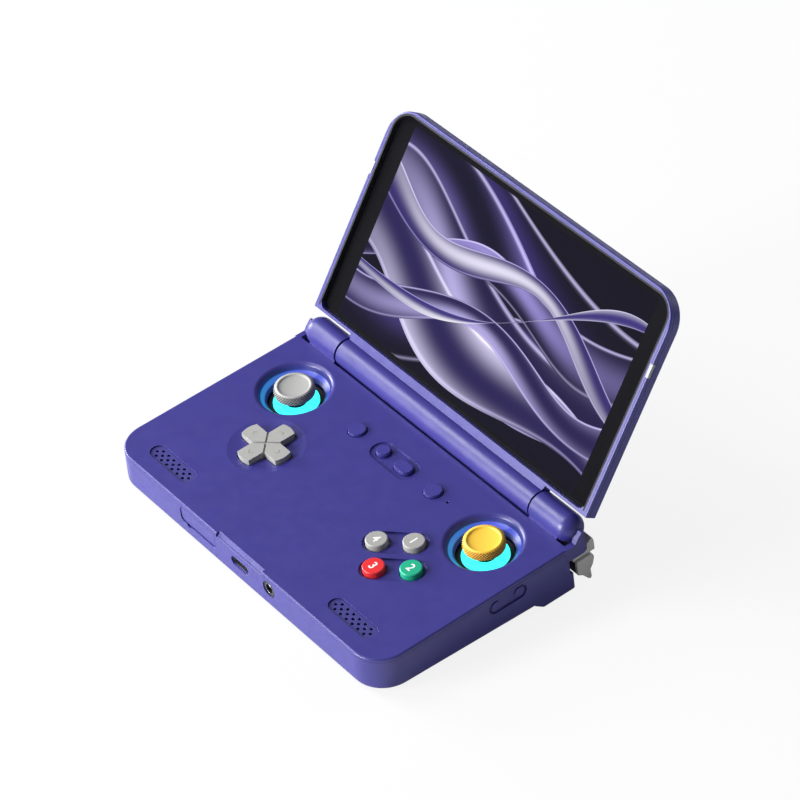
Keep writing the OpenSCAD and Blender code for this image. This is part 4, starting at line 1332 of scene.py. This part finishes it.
    def band(self, built: bmesh.types.BMesh, tint: Any, band: Ribbon, height: float) -> None:
        """Add one band, cut off at the picture's edges.

        Args:
            built: the mesh that it is added to.
            tint: the mesh's colour layer.
            band: the band.
            height: its height in metres.
        """
        middle = [0.1 + 0.8 * lane / self.lanes for lane in range(1, self.lanes)]
        cuts = [0.0, 0.03, 0.05, 0.07, 0.1, *middle, 0.9, 0.93, 0.95, 0.965, 0.98, 1.0]
        lines = []
        for step in range(self.steps + 1):
            along = -0.04 + 1.08 * step / self.steps
            line = []
            for across in cuts:
                u, v = self.band_point(band, along, across)
                inside = 0.0 <= u <= 1.0 and 0.0 <= v <= 1.0
                x = (min(1.0, max(0.0, u)) - 0.5) * self.picture_w
                y = self.picture_y + min(1.0, max(0.0, v)) * self.picture_h
                vert = built.verts.new((x * MM, y * MM, height))
                vert[tint] = self.band_tint(band, along, across)
                line.append((vert, inside))
            lines.append(line)
        for low, high in zip(lines, lines[1:]):
            for left, right in zip(range(len(cuts) - 1), range(1, len(cuts))):
                cell = [low[left], high[left], high[right], low[right]]
                if any(inside for _, inside in cell):
                    built.faces.new([vert for vert, _ in cell])

    def picture(self) -> bpy.types.Mesh:
        """Mesh of the picture: a dark plate and the bands in thin layers over it.

        Returns:
            The mesh, in metres, with its colours in an attribute.
        """
        built = bmesh.new()
        tint = built.verts.layers.float_color.new("tint")
        base = (self.stance.glass_z + self.lift) * MM
        self.plate(built, tint, base)
        for index, band in enumerate(self.ribbons()):
            self.band(built, tint, band, base + self.layer * (index + 1) * MM)
        loose = [vert for vert in built.verts if not vert.link_faces]
        bmesh.ops.delete(built, geom=loose, context="VERTS")
        built.normal_update()
        flip = [face for face in built.faces if face.normal.z < 0.0]
        bmesh.ops.reverse_faces(built, faces=flip)
        return to_mesh(built, "picture")

    def gasket_and_gap_shadow(self) -> bpy.types.Mesh:
        """Black gasket between the glass and the rim, on its three outer sides, which also paints the shadow in
        the gap at the rim's inner wall.

        Returns:
            The mesh, in metres.
        """
        near = self.glass_in + self.start
        outer, inner = (
            arch(self.glass_w / 2 + grow, near, self.glass_out + grow, self.glass_r + grow)
            for grow in self.gasket_grow
        )
        return strip(outer, inner, self.stance.glass_z + 0.005, self.rim_top + self.gasket_proud)

    def seam_shadow(self) -> bpy.types.Mesh:
        """Painted shadow of the joint that runs round the front of the rim.

        Returns:
            The mesh, in metres.
        """
        near = self.glass_in + self.start
        outer, inner = (
            arch(self.width / 2 - inset, near, self.reach - inset, self.corner_r - inset)
            for inset in self.seam_shadow_inset
        )
        return strip(outer, inner, self.rim_top - 0.02, self.rim_top + self.seam_shadow_proud)

    def build(self, nodes: Nodes) -> None:
        """Dress the lid, light its picture, and lay its gasket with its painted gap shadow and its painted seam
        shadow.

        Args:
            nodes: the CAD nodes by name.
        """
        dress_all(nodes, self.FINISHES)
        for name, mesh, shade, slot in (
            ("display_picture", self.picture(), Shade.PICTURE, "display"),
            ("bezel_gasket_and_gap_shadow", self.gasket_and_gap_shadow(), Shade.GASKET, "black_rubber"),
            ("rim_seam_shadow", self.seam_shadow(), Shade.SEAM, "indigo_plastic"),
        ):
            mesh.transform(self.stance.lid())
            new_piece(name, mesh, shade, "lid", smooth=False)


# ---------------------------------------------------------------- studio


@dataclass(frozen=True)
class Lamp:
    """A soft square lamp: its place and side in metres, and its power in watts."""

    name: str
    spot: Point
    size: float
    power: float


@dataclass
class Studio:
    """Pale floor, soft lamps, white surroundings and the camera.

    The camera's place and its three directions are in the deck's frame, in millimetres.
    """

    stance: Stance
    eye: Point = (814.954, -444.542, 871.4)
    across: Point = (0.605965, 0.78835, -0.106354)
    down: Point = (0.479318, -0.468544, -0.742106)
    away: Point = (-0.63487, 0.398713, -0.661791)
    lens: float = 182.844
    sensor: float = 36.0
    clip: tuple[float, float] = (0.05, 20.0)
    aim: Point = (0.0, 0.0, 0.03)
    floor_half: float = 6.0
    floor_paint: str = "e4e4e6"
    # Share of plain white in the floor that the camera sees
    floor_white: float = 0.86

    LAMPS: ClassVar[tuple[Lamp, ...]] = (
        Lamp("front", (-0.34, -1.17, 0.38), 0.5, 22.0),
        Lamp("left", (-1.174, -0.427, 0.32), 0.45, 18.0),
        Lamp("top", (-0.75, -0.45, 1.0), 0.5, 8.5),
        Lamp("rear", (0.2, 1.0, 0.6), 0.5, 2.5),
    )

    def camera(self) -> None:
        """Camera at the viewing angle, from its place in the deck's frame."""
        data = bpy.data.cameras.new("view")
        data.lens = self.lens
        data.sensor_width = self.sensor
        data.clip_start, data.clip_end = self.clip
        camera = link_object("view", data)
        turn = Matrix((self.across, [-v for v in self.down], [-v for v in self.away])).transposed().to_4x4()
        place = Matrix.Translation(Vector(self.eye) * MM) @ turn
        camera.matrix_world = self.stance.deck() @ place
        bpy.context.scene.camera = camera

    def light(self, lamp: Lamp) -> None:
        """Set up a lamp, aimed at the console.

        Args:
            lamp: the lamp.
        """
        data = bpy.data.lights.new(lamp.name, "AREA")
        data.shape = "SQUARE"
        data.size = lamp.size
        data.energy = lamp.power
        lit = link_object(lamp.name, data)
        lit.location = lamp.spot
        aim = Vector(self.aim) - Vector(lamp.spot)
        lit.rotation_euler = aim.to_track_quat("-Z", "Y").to_euler()

    def floor(self) -> None:
        """Pale floor that shows as near white and keeps a soft shadow."""
        material, tree = blank_material("pale_studio_floor")
        dull = {"Base Color": linear(self.floor_paint), "Roughness": 0.9, "Specular IOR Level": 0.1}
        paint = add(tree, "ShaderNodeBsdfPrincipled", dull)
        white = add(tree, "ShaderNodeEmission", {"Color": (1.0, 1.0, 1.0, 1.0), "Strength": 1.0})
        seen = {0: add(tree, "ShaderNodeLightPath").outputs["Is Camera Ray"], 1: self.floor_white}
        share = add(tree, "ShaderNodeMath", seen, operation="MULTIPLY")
        mix = add(tree, "ShaderNodeMixShader", {0: share.outputs[0], 1: paint.outputs[0], 2: white.outputs[0]})
        add(tree, "ShaderNodeOutputMaterial", {"Surface": mix.outputs[0]})
        built = bmesh.new()
        bmesh.ops.create_grid(built, x_segments=1, y_segments=1, size=self.floor_half)
        mesh = to_mesh(built, "floor")
        mesh.materials.append(material)
        link_object("studio_floor", mesh)

    def surroundings(self) -> None:
        """White to the camera, softer as a light."""
        world = bpy.data.worlds.new("studio")
        bpy.context.scene.world = world
        world.use_nodes = True
        tree = world.node_tree
        tree.nodes.clear()
        seen = add(tree, "ShaderNodeLightPath").outputs["Is Camera Ray"]
        soft = add(tree, "ShaderNodeBackground", {"Color": (0.95, 0.97, 1.0, 1.0), "Strength": 0.2})
        white = add(tree, "ShaderNodeBackground", {"Color": (1.0, 1.0, 1.0, 1.0), "Strength": 1.0})
        mix = add(tree, "ShaderNodeMixShader", {0: seen, 1: soft.outputs[0], 2: white.outputs[0]})
        add(tree, "ShaderNodeOutputWorld", {"Surface": mix.outputs[0]})

    def build(self) -> None:
        """Set up the whole studio."""
        bpy.context.scene.view_settings.view_transform = "Standard"
        self.camera()
        self.floor()
        self.surroundings()
        for lamp in self.LAMPS:
            self.light(lamp)


def main(frame: Frame) -> None:
    """Build the scene.
    """
    logging.basicConfig(level=logging.INFO)
    stance = Stance.read(frame)
    nodes = frame["nodes"]
    slots = {part["node"]: part["material_slot"] for part in frame["record"]["subparts"]}
    Studio(stance).build()
    Casing(stance).build(nodes)
    ThumbStick(stance, "left", -50.0).build(nodes)
    ThumbStick(stance, "right", 50.0).build(nodes)
    DirectionPad(stance).build(nodes)
    FaceButtons(stance, slots).build(nodes)
    ShoulderKeys().build(nodes)
    Lid(stance).build(nodes)


if __name__ == "__main__":
    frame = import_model()
    main(frame)
